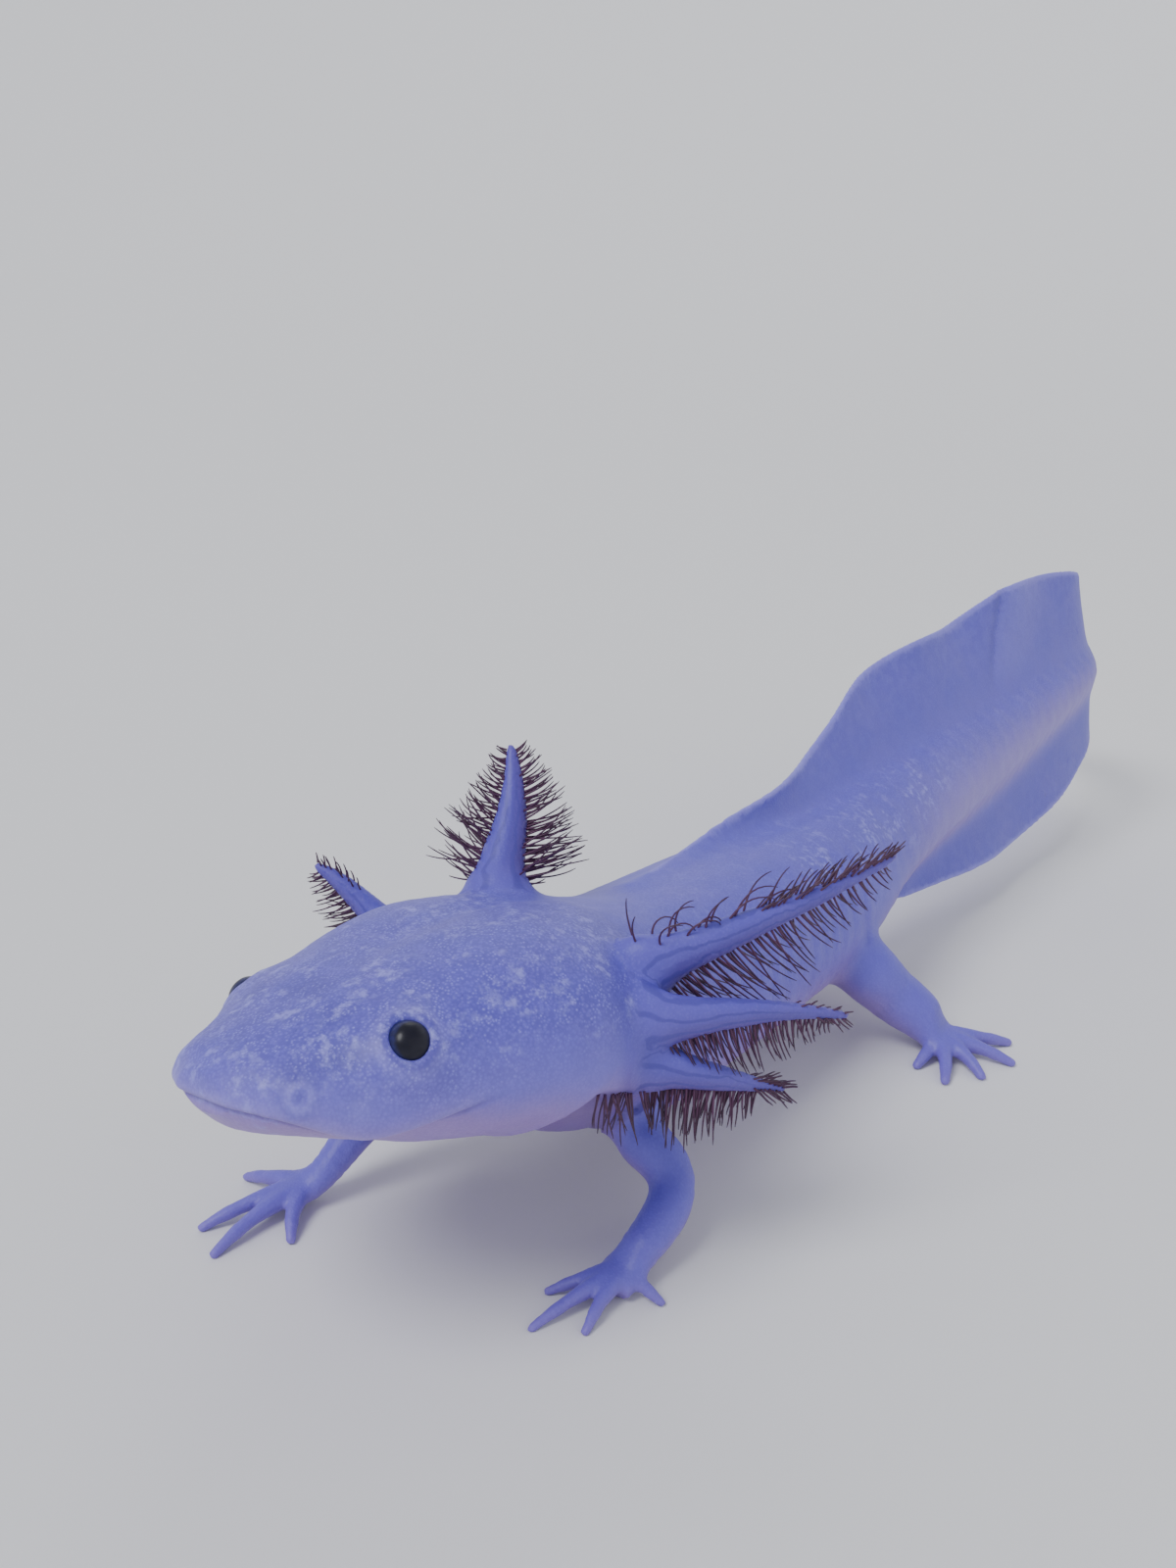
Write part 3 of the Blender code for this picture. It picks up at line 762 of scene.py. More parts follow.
@dataclass
class FilamentComb:
    """The soft filaments of one gill: double rows of thin curved threads, in millimetres.

    sunk is where a thread starts, as a share of the stalk's own radius. patch is the width that
    each thread takes on the bake map, whose middle and rises place the stalk's rows on it.
    """

    gill: Gill
    body: BodyForm
    seed: int
    sides: int = 5
    rings: int = 10
    root_radius: float = 0.105
    tip_radius: float = 0.045
    tip_rounding: float = 0.6
    sunk: float = 0.82
    wobble: float = 0.16
    droop: float = 0.10
    length_range: Pair = (0.84, 1.1)
    hook_range: Pair = (0.5, 1.5)
    patch: float = 0.003
    map_start: float = 0.15
    map_length: float = 0.8
    map_rises: Pair = (0.2, 0.06)

    def thread(self) -> Thing:
        """One straight thread a unit long along X, drawn out of a small circle.

        Returns:
            The thread, as thick as it will be.
        """
        sections = []
        for i in range(self.rings):
            t = i / (self.rings - 1)
            radius = self.root_radius + (self.tip_radius - self.root_radius) * t**0.8
            if i == self.rings - 1:
                radius *= self.tip_rounding
            centre, direction = Vector((t, 0.0, 0.0)), Vector((1.0, 0.0, 0.0))
            sections.append(round_section(centre, direction, radius, radius, self.sides))
        return extruded_run("thread", sections)

    def build(self) -> Thing:
        """Copies the thread along every row, each copy bent its own way.

        Returns:
            One joined object holding every thread, with its bake map.
        """
        pattern = self.thread()
        base = read_points(pattern) * MM
        loops = np.empty(len(pattern.data.loops), np.int32)
        pattern.data.loops.foreach_get("vertex_index", loops)
        counts = np.empty(len(pattern.data.polygons), np.int32)
        pattern.data.polygons.foreach_get("loop_total", counts)
        bpy.data.objects.remove(pattern, do_unlink=True)
        random = np.random.default_rng(self.seed)
        handles = self.gill.curve(self.body)
        points, along, maps = [], [], []
        for row in self.gill.rows:
            for index in range(row.count):
                file = 1 if index % 2 else -1
                share = min((index + random.uniform(0.1, 0.9)) / row.count, 1.0)
                t = row.start + (row.end - row.start) * share
                points.append(self.bent(base, handles, row, share, file, random))
                along.append(base[:, 0])
                patch = np.stack([base[:, 0], np.full(len(base), 0.5)], axis=1) * self.patch
                rise = 0.5 + self.map_rises[0] * row.side + self.map_rises[1] * file
                maps.append(patch + [self.map_start + self.map_length * t, rise])
        steps = np.arange(len(points))[:, None] * len(base)
        return self.assemble(
            np.concatenate(points),
            (loops[None, :] + steps).ravel(),
            np.tile(counts, len(points)),
            np.concatenate(along),
            np.concatenate(maps),
        )

    def bent(
        self,
        base: Rows,
        handles: tuple[Vector, ...],
        row: Row,
        share: float,
        file: int,
        random: np.random.Generator,
    ) -> Rows:
        """One thread's points, leaning, hooking and drooping its own way.

        Args:
            base: the straight thread.
            handles: the stalk's curve.
            row: the row that the thread stands in.
            share: how far along the row.
            file: -1 or 1, which of the row's two files.
            random: the comb's own numbers.

        Returns:
            Rows of millimetres.
        """
        t = row.start + (row.end - row.start) * share
        centre, direction = self.gill.at(self.body, handles, t)
        hang = self.gill.hanging(direction) * row.side
        fan = file * (row.fan + random.normal(0, row.untidy))
        out = (hang * math.cos(fan) + direction.cross(hang) * math.sin(fan)).normalized()
        across = direction.cross(out).normalized()
        length = row.length(share) * random.uniform(*self.length_range)
        lean = row.lean + random.normal(0, row.untidy)
        hook = row.hook * random.uniform(*self.hook_range)
        phase = random.uniform(0, 2 * math.pi)
        steps = self.rings - 1
        s = (np.arange(steps) + 0.5) / steps
        angle = lean + hook * s**1.4
        way = np.cos(angle)[:, None] * np.array(out) + np.sin(angle)[:, None] * np.array(direction)
        way += (self.wobble * np.sin(2 * math.pi * s * 0.9 + phase) * s)[:, None] * np.array(across)
        way += (self.droop * s)[:, None] * np.array([0.0, 0.0, -1.0])
        sunk = self.gill.radius(t) * self.sunk * self.reach(out, direction)
        root = np.array(centre + out * sunk)
        line = np.concatenate([[root], root + np.cumsum(way, axis=0) * (length / steps)])
        tangent = np.gradient(line, axis=0)
        tangent /= np.linalg.norm(tangent, axis=1, keepdims=True)
        first = np.cross(tangent, np.array(across))
        first /= np.linalg.norm(first, axis=1, keepdims=True)
        second = np.cross(tangent, first)
        ring = np.rint(base[:, 0] * steps).astype(int)
        return line[ring] + base[:, 1:2] * first[ring] + base[:, 2:3] * second[ring]

    def reach(self, out: Vector, direction: Vector) -> float:
        """How far the blade-shaped stalk reaches this way, as a share of its half height."""
        across, over = section_axes(direction)
        return 1.0 / math.hypot(out.dot(across) / self.gill.blade, out.dot(over))

    def assemble(
        self,
        points: Rows,
        loops: Rows,
        counts: Rows,
        along: Rows,
        maps: Rows,
    ) -> Thing:
        """Makes the joined object from all threads' points and faces.

        Args:
            points: rows of millimetres.
            loops: the vertex of every face corner.
            counts: how many corners each face has.
            along: 0 at a thread's root and 1 at its tip.
            maps: every vertex's place on the bake map.

        Returns:
            The object.
        """
        mesh = bpy.data.meshes.new(self.gill.node + "_filaments")
        mesh.vertices.add(len(points))
        mesh.vertices.foreach_set("co", (points * MM).astype(np.float32).ravel())
        mesh.loops.add(len(loops))
        mesh.loops.foreach_set("vertex_index", loops.astype(np.int32))
        mesh.polygons.add(len(counts))
        starts = np.concatenate([[0], np.cumsum(counts)[:-1]]).astype(np.int32)
        mesh.polygons.foreach_set("loop_start", starts)
        mesh.update(calc_edges=True)
        mesh.validate()
        mesh.shade_smooth()
        layer = mesh.attributes.new("along", "FLOAT", "POINT")
        layer.data.foreach_set("value", along.astype(np.float32))
        bake = mesh.uv_layers.new(name="OFBake")
        bake.data.foreach_set("uv", maps[loops].astype(np.float32).ravel())
        made = bpy.data.objects.new(mesh.name, mesh)
        bpy.context.scene.collection.objects.link(made)
        pick(made)
        close_outwards()
        return made


@dataclass
class GillSet:
    """All six gills. Every comb of filaments has a seed of its own, after the first."""

    body: BodyForm
    first_seed: int = 11
    gills: tuple[Gill, ...] = (
        Gill(
            Side.LEFT, "upper", 30.6, 10.6, (22.3, -14.2, 30.2), (2.2, -1.2, 0.8), 2.2,
            (
                Row(1, 0.08, 0.97, 84, 6.0, 1.1, peak=0.16, lean=0.35, hook=0.4, untidy=0.1),
                Row(-1, 0.02, 0.06, 2, 3.6, 3.0, lean=0.1, hook=0.5, untidy=0.1),
                Row(-1, 0.1, 0.4, 9, 3.6, 2.6, fan=0.25, lean=0.35, hook=1.9, untidy=0.22),
                Row(-1, 0.42, 0.62, 5, 4.4, 3.6, fan=0.2, lean=0.8, hook=1.2, untidy=0.2),
                Row(-1, 0.54, 1.0, 50, 2.7, 1.5, peak=0.5, lean=0.85, hook=0.35, untidy=0.12),
            ),
        ),
        Gill(
            Side.LEFT, "middle", 29.0, 7.7, (22.9, -20.8, 19.6), (1.6, -1.0, 2.1), 2.1,
            (
                Row(1, 0.12, 0.93, 84, 3.5, 1.0, peak=0.4, lean=0.25, hook=0.3, untidy=0.08),
                Row(-1, 0.74, 1.0, 8, 0.9, 0.6, lean=1.0, hook=0.2),
                Row(1, 0.86, 1.0, 10, 1.6, 1.2, fan=0.5, lean=1.0, hook=0.2),
            ),
        ),
        Gill(
            Side.LEFT, "lower", 29.4, 4.5, (20.4, -24.8, 14.2), (1.4, -0.6, 0.5), 1.9,
            (
                Row(1, -0.28, 0.0, 22, 3.6, 2.2, fan=0.2, lean=0.1, hook=0.15, untidy=0.1),
                Row(
                    1, 0.02, 0.84, 72, 4.4, 1.7,
                    peak=0.2, fan=0.2, lean=0.14, hook=0.14, untidy=0.08,
                ),
                Row(1, 0.78, 1.0, 18, 2.0, 1.3, fan=0.8, lean=0.9, hook=0.2),
                Row(-1, 0.74, 1.0, 18, 1.9, 1.0, fan=0.6, lean=1.05, hook=0.15),
            ),
            web=(13.2, -23.2, 4.4),
        ),
        Gill(
            Side.RIGHT, "upper", 31.8, 14.0, (-8.9, -23.2, 34.3), (0.4, 1.6, -0.4), 2.2,
            (
                Row(1, 0.08, 0.98, 84, 5.4, 1.2, peak=0.15, lean=0.4, hook=0.45, untidy=0.16),
                Row(-1, 0.08, 0.98, 78, 4.8, 1.1, peak=0.15, lean=0.35, hook=0.5, untidy=0.18),
            ),
            hang=(0.78, 0.63, 0.0),
            taper=0.78,
            blade=1.05,
        ),
        Gill(
            Side.RIGHT, "middle", 29.0, 8.0, (-20.8, -34.6, 23.6), (-1.0, 1.2, 0.8), 2.1,
            (
                Row(1, 0.12, 0.97, 76, 3.9, 1.1, peak=0.3, lean=0.3, hook=0.5, untidy=0.14),
                Row(-1, 0.7, 1.0, 16, 1.4, 0.9, lean=0.75, hook=0.4, untidy=0.14),
            ),
            taper=0.8,
            blade=0.95,
        ),
        Gill(
            Side.RIGHT, "lower", 29.4, 4.9, (-20.0, -27.0, 13.0), (-1.2, 0.4, 0.6), 1.9,
            (
                Row(1, -0.28, 0.0, 22, 3.4, 2.0, fan=0.2, lean=0.1, hook=0.15, untidy=0.1),
                Row(1, 0.02, 0.97, 76, 4.2, 1.2, peak=0.25, lean=0.2, hook=0.25, untidy=0.1),
                Row(-1, 0.7, 1.0, 18, 1.6, 0.9, lean=0.95, hook=0.3),
            ),
            web=(13.2, -23.2, 4.4),
        ),
    )

    def runs(self) -> list[Run]:
        """Every stalk's flesh."""
        return [gill.stalk(self.body) for gill in self.gills]

    def filaments(self) -> list[Thing]:
        """Every gill's comb of filaments.

        Returns:
            One object per gill, in the gills' order.
        """
        combs = [
            FilamentComb(gill, self.body, self.first_seed + number)
            for number, gill in enumerate(self.gills)
        ]
        return [comb.build() for comb in combs]


# ---------------- legs


@dataclass
class Limb:
    """One leg from the body wall to its toe tips, in millimetres.

    root_y and root_angle, in degrees, say where it leaves the body. radii are at the shoulder,
    elbow and wrist, toe_radii at the ridge on the hand's back, mid-toe and tip. palm is the
    middle of the knuckles and toes the tips, from above. A t runs from 0 to 1 along a stretch.
    """

    name: str
    root_y: float
    root_angle: float
    elbow: Place
    wrist: Place
    radii: Place
    palm: Pair
    palm_half_width: float
    toe_radii: Place
    toes: tuple[Pair, ...]
    palm_half_height: float = 1.0
    palm_sag: float = 0.3
    palm_spread: float = 0.62
    past_knuckles: float = 0.5
    toe_lift: float = 0.55
    sole_sink: float = 0.12
    inside: float = 2.5
    leave: float = 2.2
    shoulder_flare: float = 1.12
    elbow_reach: float = 0.35
    calf: float = 0.14
    knuckle_t: float = 0.55
    joint_t: float = 0.72
    joint_swell: Pair = (0.05, 0.06)
    toe_flatness: float = 1.06
    sides: int = 24
    toe_sides: int = 16
    arm_rings: int = 10
    palm_rings: int = 8
    toe_rings: int = 15

    def nodes(self) -> list[str]:
        """The names of the leg's three nodes."""
        return [f"leg_{self.name}_{part}" for part in ("upper", "lower", "foot")]

    def runs(self, body: BodyForm) -> list[Run]:
        """The leg's flesh and its toes.

        Args:
            body: the body that it grows from.

        Returns:
            The leg's run and one for each toe.
        """
        place = body.place_of_y(self.root_y)
        angle = math.radians(self.root_angle)
        out = body.outward(place, angle)
        root = body.outline(place, angle) + out * body.leg_root_gap
        elbow, wrist = Vector(self.elbow), Vector(self.wrist)
        bend = ((elbow - root).normalized() + (wrist - elbow).normalized()).normalized()
        above = elbow - bend * ((elbow - root).length * self.elbow_reach)
        below = elbow + bend * ((wrist - elbow).length * self.elbow_reach)
        knuckles = Vector((self.palm[0], self.palm[1], self.palm_half_height - self.sole_sink))
        arrive = (wrist - below).normalized()
        leave = Vector((knuckles.x - wrist.x, knuckles.y - wrist.y, 0.0)).normalized()
        sections, along = self.arm(root, out, above, elbow, below, wrist)
        start = wrist + arrive * body.cut_gap
        handle = (start + knuckles) * 0.5 - Vector((0.0, 0.0, self.palm_sag))
        end = knuckles + leave * self.past_knuckles
        for i in range(1, self.palm_rings + 1):
            t = i / self.palm_rings
            centre = start * (1 - t) ** 2 + handle * (2 * t * (1 - t)) + end * t**2
            direction = (arrive * (1.0 - t) + leave * t).normalized()
            spread = math.sin(math.pi * t * self.palm_spread)
            narrow, drop = self.radii[2], math.sin(math.pi / 2 * t)
            wide = narrow + (self.palm_half_width - narrow) * spread
            tall = narrow + (self.palm_half_height - narrow) * drop
            sections.append(round_section(centre, direction, wide, tall, self.sides))
            along.append(2.0 + t)
        runs = [Run("leg_" + self.name, Flesh.LIMB, sections, along)]
        for number, tip in enumerate(self.toes):
            name = f"toe_{self.name}_{number}"
            runs.append(self.toe(name, wrist, knuckles, Vector((*tip, 0.0))))
        return runs

    def arm(
        self,
        root: Vector,
        out: Vector,
        above: Vector,
        elbow: Vector,
        below: Vector,
        wrist: Vector,
    ) -> tuple[list[Section], list[float]]:
        """Sections from inside the body wall to the wrist, and how far along each is.

        Args:
            root: where it leaves the body.
            out: the way it leaves.
            above: the handle before the elbow.
            elbow: the bend.
            below: the handle after the elbow.
            wrist: its end.

        Returns:
            The sections, and 0 at the body, 1 at the elbow and 2 at the wrist.
        """
        shoulder, bend, narrow = self.radii
        wide = shoulder * self.shoulder_flare
        sections = [round_section(root - out * self.inside, out, wide, wide, self.sides)]
        along = [0.0]
        for i in range(self.arm_rings):
            t = i / self.arm_rings
            centre, direction = bezier((root, root + out * self.leave, above, elbow), t)
            radius = shoulder + (bend - shoulder) * t
            sections.append(round_section(centre, direction, radius, radius, self.sides))
            along.append(t)
        handles = (elbow, elbow.lerp(below, 2 / 3), wrist.lerp(below, 2 / 3), wrist)
        for i in range(self.arm_rings):
            t = i / (self.arm_rings - 1)
            centre, direction = bezier(handles, t)
            radius = bend + (narrow - bend) * t + self.calf * math.sin(math.pi * t)
            sections.append(round_section(centre, direction, radius, radius, self.sides))
            along.append(1.0 + t)
        return sections, along

    def toe(self, name: str, wrist: Vector, knuckles: Vector, tip: Vector) -> Run:
        """One toe: a ridge on the back of the hand, a knuckle, and a long tapering finger.

        Args:
            name: the run's name.
            wrist: the leg's wrist.
            knuckles: the middle of the knuckles.
            tip: where the toe ends on the floor.

        Returns:
            The toe's run.
        """
        ridge, middle, end = self.toe_radii
        inward = Vector((knuckles.x - tip.x, knuckles.y - tip.y, 0.0)).normalized()
        palm = Vector((knuckles.x, knuckles.y, 0.0))
        back = Vector((wrist.x, wrist.y, 0.0)).lerp(palm, 0.45)
        start = back + Vector((0.0, 0.0, knuckles.z + self.palm_half_height * 0.55))
        reach = (Vector((tip.x, tip.y, 0.0)) - palm).length
        knuckle = palm - inward * max(self.palm_half_width * 0.75, reach * 0.3)
        knuckle.z = self.palm_half_height + self.toe_lift
        nail = Vector((tip.x, tip.y, end - self.sole_sink)) + inward * end
        arch = knuckle.lerp(nail, 0.55)
        arch.z = middle + self.toe_lift * 0.9
        handles = (start, knuckle, arch, nail)
        sections, along = [], []
        for i in range(self.toe_rings):
            t = i / (self.toe_rings - 1)
            centre, direction = bezier(handles, t)
            radius = ridge + (middle - ridge) * min(max((t - 0.12) / 0.43, 0.0), 1.0)
            radius += (end - middle) * max((t - self.knuckle_t) / 0.45, 0.0)
            height, width = self.joint_swell
            radius += height * math.exp(-(((t - self.joint_t) / width) ** 2))
            wide = radius * self.toe_flatness
            sections.append(round_section(centre, direction, wide, radius, self.toe_sides))
            along.append(t)
        cap = nail - inward * end * 0.8
        sections.append(round_section(cap, -inward, end * 0.55, end * 0.5, self.toe_sides))
        along.append(1.0)
        return Run(name, Flesh.TOE, sections, along)


@dataclass
class LimbSet:
    """The four legs."""

    body: BodyForm
    limbs: tuple[Limb, ...] = (
        Limb(
            "front_left", -26.5, -56.0, (13.5, -28.7, 5.2), (14.5, -34.3, 2.5), (2.3, 1.8, 1.6),
            (14.2, -36.5), 1.8, (0.86, 0.48, 0.31),
            ((10.4, -40.3), (12.2, -44.0), (15.5, -41.8), (18.0, -35.4)),
        ),
        Limb(
            "front_right", -26.0, 226.0, (-8.8, -35.0, 7.4), (-10.3, -43.0, 2.6), (2.3, 1.8, 1.4),
            (-11.9, -45.4), 1.8, (0.92, 0.56, 0.36),
            ((-17.5, -46.0), (-14.4, -52.7), (-10.9, -54.0), (-7.6, -49.0)),
        ),
        Limb(
            "hind_left", 9.5, -48.0, (11.6, 11.4, 5.0), (14.8, 12.4, 3.0), (3.3, 2.8, 2.4),
            (17.2, 12.9), 2.7, (1.15, 0.62, 0.42),
            ((16.4, 7.4), (20.0, 6.6), (22.5, 10.0), (23.7, 14.8), (21.6, 18.7)),
        ),
        Limb(
            "hind_right", 9.5, 214.0, (-12.0, 13.6, 5.4), (-15.0, 9.6, 3.0), (3.3, 2.8, 2.3),
            (-16.9, 7.4), 2.7, (1.15, 0.62, 0.42),
            ((-13.0, 2.6), (-16.8, -0.4), (-21.2, 1.4), (-23.6, 5.4), (-22.4, 10.6)),
        ),
    )

    def runs(self) -> list[Run]:
        """The flesh of every leg."""
        return [run for limb in self.limbs for run in limb.runs(self.body)]

    def nodes(self) -> list[str]:
        """The names of every leg's nodes."""
        return [node for limb in self.limbs for node in limb.nodes()]


# ---------------- the one skin


class Net:
    """The edges of a mesh: which vertices are neighbours."""

    def __init__(self, thing: Thing) -> None:
        """Reads every edge.

        Args:
            thing: the object.
        """
        ends = np.empty(len(thing.data.edges) * 2, np.int32)
        thing.data.edges.foreach_get("vertices", ends)
        self.first, self.second = ends.reshape(-1, 2).T
        self.count = len(thing.data.vertices)
        self.ties = np.bincount(ends, minlength=self.count)

    def around(self, values: Rows) -> Rows:
        """The mean of the neighbours' values, for every vertex.

        Args:
            values: a number or a row of numbers for every vertex.

        Returns:
            The means, in the same shape.
        """
        if values.ndim > 1:
            return np.stack([self.around(column) for column in values.T], axis=1)
        total = np.bincount(self.first, values[self.second], self.count)
        total = total + np.bincount(self.second, values[self.first], self.count)
        return total / self.ties


class Nearest:
    """For every vertex, the nearest point of the runs: which run it is of and how far along."""

    def __init__(self, runs: list[Run], points: Rows) -> None:
        """Looks every vertex up among the points of all sections.

        Args:
            runs: every run under the skin.
            points: the vertices, in millimetres.
        """
        places, rows = [], []
        for number, run in enumerate(runs):
            for section, along in zip(run.sections, run.along):
                centre = sum(section, Vector()) / len(section)
                size = sum((point - centre).length for point in section) / len(section)
                row = (number, run.flesh.value, along, size, *centre, *run.hang)
                places.extend(section)
                rows.extend([row] * len(section))
        tree = KDTree(len(places))
        for index, place in enumerate(places):
            tree.insert(place, index)
        tree.balance()
        found = np.array([tree.find(point)[1] for point in points])
        table = np.array(rows)[found]
        self.run, self.flesh = table[:, 0].astype(int), table[:, 1].astype(int)
        self.along, self.size = table[:, 2], table[:, 3]
        self.offset = points - table[:, 4:7]
        self.hang = table[:, 7:10]


@dataclass
class Melt:
    """Smooths the melted skin without thinning it, and fills the corners where runs meet.

    Every corner names the kinds of flesh that meet there, how far its rounding reaches and how
    many rounds it takes. limb_fade is where along a leg its own smoothing ends and starts.
    """

    thing: Thing
    nearest: Nearest
    draw_in: float = 0.5
    push_out: float = 0.53
    even_rounds: int = 9
    limb_rounds: int = 50
    limb_fade: Pair = (2.6, 2.2)
    corners: tuple[tuple[frozenset[Flesh], float, int], ...] = (
        (frozenset({Flesh.CORE, Flesh.LIMB}), 2.4, 110),
        (frozenset({Flesh.CORE, Flesh.STALK}), 2.0, 90),
        (frozenset({Flesh.CORE, Flesh.FIN}), 2.4, 130),
        (frozenset({Flesh.LIMB, Flesh.TOE}), 0.4, 12),
        (frozenset({Flesh.TOE}), 0.35, 8),
    )

    def work(self) -> None:
        """Evens every ripple out, then rounds each kind of corner by its own amount."""
        self.points = read_points(self.thing)
        self.net = Net(self.thing)
        for _ in range(self.even_rounds):
            self.points = self.points + self.draw_in * self.pull()
            self.points = self.points - self.push_out * self.pull()
        limbs = self.draw_in * (self.nearest.flesh == Flesh.LIMB.value)[:, None]
        limbs = limbs * smooth_step(*self.limb_fade, self.nearest.along)[:, None]
        for _ in range(self.limb_rounds):
            self.points = self.points + limbs * self.pull()
        for kinds, reach, rounds in self.corners:
            share = smooth_step(reach, 0.0, self.from_corner(kinds))[:, None]
            for _ in range(rounds):
                self.points = self.points + self.draw_in * share * self.pull()
        write_points(self.thing, self.points)

    def pull(self) -> Rows:
        """How far each vertex is from the middle of its neighbours."""
        return self.net.around(self.points) - self.points

    def from_corner(self, kinds: frozenset[Flesh]) -> Rows:
        """Every vertex's distance from the line where runs of these kinds meet.

        Args:
            kinds: the kinds of flesh that meet.

        Returns:
            Millimetres, or infinity where they never meet.
        """
        first, second = self.net.first, self.net.second
        wanted = {kind.value for kind in kinds}
        run, flesh = self.nearest.run, self.nearest.flesh
        meets = run[first] != run[second]
        for value in (flesh[first], flesh[second]):
            meets &= np.isin(value, list(wanted))
        if len(wanted) > 1:
            meets &= flesh[first] != flesh[second]
        line = np.unique(first[meets])
        if not len(line):
            return np.full(len(self.points), np.inf)
        tree = KDTree(len(line))
        for index in line:
            tree.insert(self.points[index], int(index))
        tree.balance()
        return np.array([tree.find(point)[2] for point in self.points])


@dataclass
class Skin:
    """The one skin over head, body, fins, gill stalks and legs, in millimetres.

    Places of the head are (left, ahead, up). lip_line is the closed mouth's height, ahead to
    behind. The fine reaches say how far round lips, eyes and nostrils the net is finer.
    """

    body: BodyForm
    gills: GillSet
    limbs: LimbSet
    core_step: float = 1.3
    core_sides: int = 56
    fin_step: float = 1.3
    fin_evening: float = 1.1
    fin_evening_steps: int = 3
    least_fin: float = 0.3
    low_fin_sway: float = 0.3
    voxel: float = 0.21
    most_triangles: int = 196000
    fine_lip: float = 0.7
    fine_eye: float = 2.4
    fine_nostril: float = 1.2
    lip_samples: int = 80
    lip_evening: int = 4
    eye_place: Place = (8.7, -10.9, 9.2)
    eye_radius: float = 1.5
    nostril_place: Place = (6.3, -4.5, 6.9)
    lip_line: tuple[Pair, ...] = (
        (-0.8, 6.2),
        (-1.6, 6.0),
        (-3.2, 5.5),
        (-4.5, 4.85),
        (-6.5, 3.95),
        (-8.3, 3.45),
        (-10.5, 3.85),
        (-13.0, 4.45),
        (-14.5, 5.0),
        (-17.0, 6.1),
    )

    def core_run(self) -> Run:
        """Head, neck, trunk and tail muscle as one run.

        Returns:
            The run, with its rings' places along the body.
        """
        count = int(self.body.length / self.core_step)
        angles = [2 * math.pi * j / self.core_sides for j in range(self.core_sides)]
        sections, along = [], []
        for i in range(count + 1):
            place = self.body.length * i / count
            sections.append([self.body.outline(place, angle) for angle in angles])
            along.append(place)
        return Run("core", Flesh.CORE, sections, along)

    def fin_height(self, place: float, upward: bool) -> float:
        """Height of a fin there, evened out over a short stretch so that its outline flows.

        Args:
            place: millimetres along the body.
            upward: whether it is the top fin.

        Returns:
            Millimetres.
        """
        total, most = 0.0, self.fin_evening_steps
        for step in range(-most, most + 1):
            away = min(abs(step) * self.fin_evening, self.body.length - place)
            ring = self.body.ring_at(place + math.copysign(away, step))
            total += ring.top_fin if upward else ring.low_fin
        return total / (2 * most + 1)

    def fin_run(self, name: str, upward: bool, start: float) -> Run:
        """A fin from inside the muscle to its rounded, slightly rolled edge.

        Args:
            name: the run's name.
            upward: whether it is the top fin.
            start: where it starts along the body.

        Returns:
            The fin's run.
        """
        body = self.body
        count = int((body.length - start) / self.fin_step)
        sections, along = [], []
        for i in range(count + 1):
            place = start + (body.length - start) * i / count
            ring = body.ring_at(place)
            reach = ring.rise if upward else ring.drop
            height = max(self.fin_height(place, upward), self.least_fin)
            direction = ring.up if upward else ring.up * -1.0
            root = ring.centre + direction * (reach + body.cut_gap)
            sway = body.fin_ripple * min(height / 8.0, 1.0)
            sway *= math.sin(2 * math.pi * place / body.fin_ripple_length)
            sway *= 1.0 if upward else self.low_fin_sway
            wide = min(body.fin_root_thickness, ring.half_width + 0.4) / 2
            thin = body.fin_membrane / 2
            rim = body.fin_rim / 2
            deep = min(reach * 0.5, 2.0)
            half = (
                (-deep, 0.0, wide * 1.9),
                (0.0, 0.0, wide * 1.15),
                (0.16, 0.05, wide * 0.8),
                (0.35, 0.15, (wide + thin) * 0.45),
                (0.6, 0.4, thin * 1.1),
                (0.88, 0.8, thin),
                (0.955, 0.95, rim),
                (1.0, 1.0, rim * 0.7),
            )
            left, right = [], []
            for rise, bend, thick in half:
                far = rise if rise < 0 else rise * height
                point = root + direction * far + ring.left * (sway * bend)
                left.append(point + ring.left * thick)
                right.append(point - ring.left * thick)
            sections.append(left + right[::-1])
            along.append(place)
        return Run(name, Flesh.FIN, sections, along)

    def runs(self) -> list[Run]:
        """Every stretch of flesh under the skin.

        Returns:
            The core, the fins, the gill stalks and the legs.
        """
        top = self.fin_run("fin_top", True, self.body.place_of_y(self.body.fin_start_y))
        low = self.fin_run("fin_low", False, self.body.place_of_y(self.body.low_fin_start_y))
        return [self.core_run(), top, low] + self.gills.runs() + self.limbs.runs()

    def build(self) -> Thing:
        """Draws every run, melts them into one skin, models its relief and marks its colours.

        Returns:
            The finished skin.
        """
        runs = self.runs()
        things = [
            extruded_run(run.name, [[point * MM for point in section] for section in run.sections])
            for run in runs
        ]
        skin = joined("skin", things)
        voxel = self.voxel * MM
        finish_modifier(skin, "REMESH", mode="VOXEL", voxel_size=voxel, use_smooth_shade=True)
        log.info("skin melted: %d faces", len(skin.data.polygons))
        Melt(skin, Nearest(runs, read_points(skin))).work()
        self.refine(skin)
        relief = Relief(self, skin, runs)
        relief.carve()
        relief.paint()
        self.slim(skin)
        skin.data.shade_smooth()
        return skin

    def refine(self, skin: Thing) -> None:
        """Subdivides the faces round the mouth, eyes and nostrils.

        Args:
            skin: the skin.
        """
        near = self.fine_places(self.body.pose.local(read_points(skin)))
        pick(skin)
        with editing():
            bpy.ops.mesh.select_mode(type="VERT")
            bpy.ops.mesh.select_all(action="DESELECT")
        skin.data.vertices.foreach_set("select", near)
        with editing():
            bpy.ops.mesh.select_mode(type="FACE")
            bpy.ops.mesh.subdivide(number_cuts=1, smoothness=0.5)

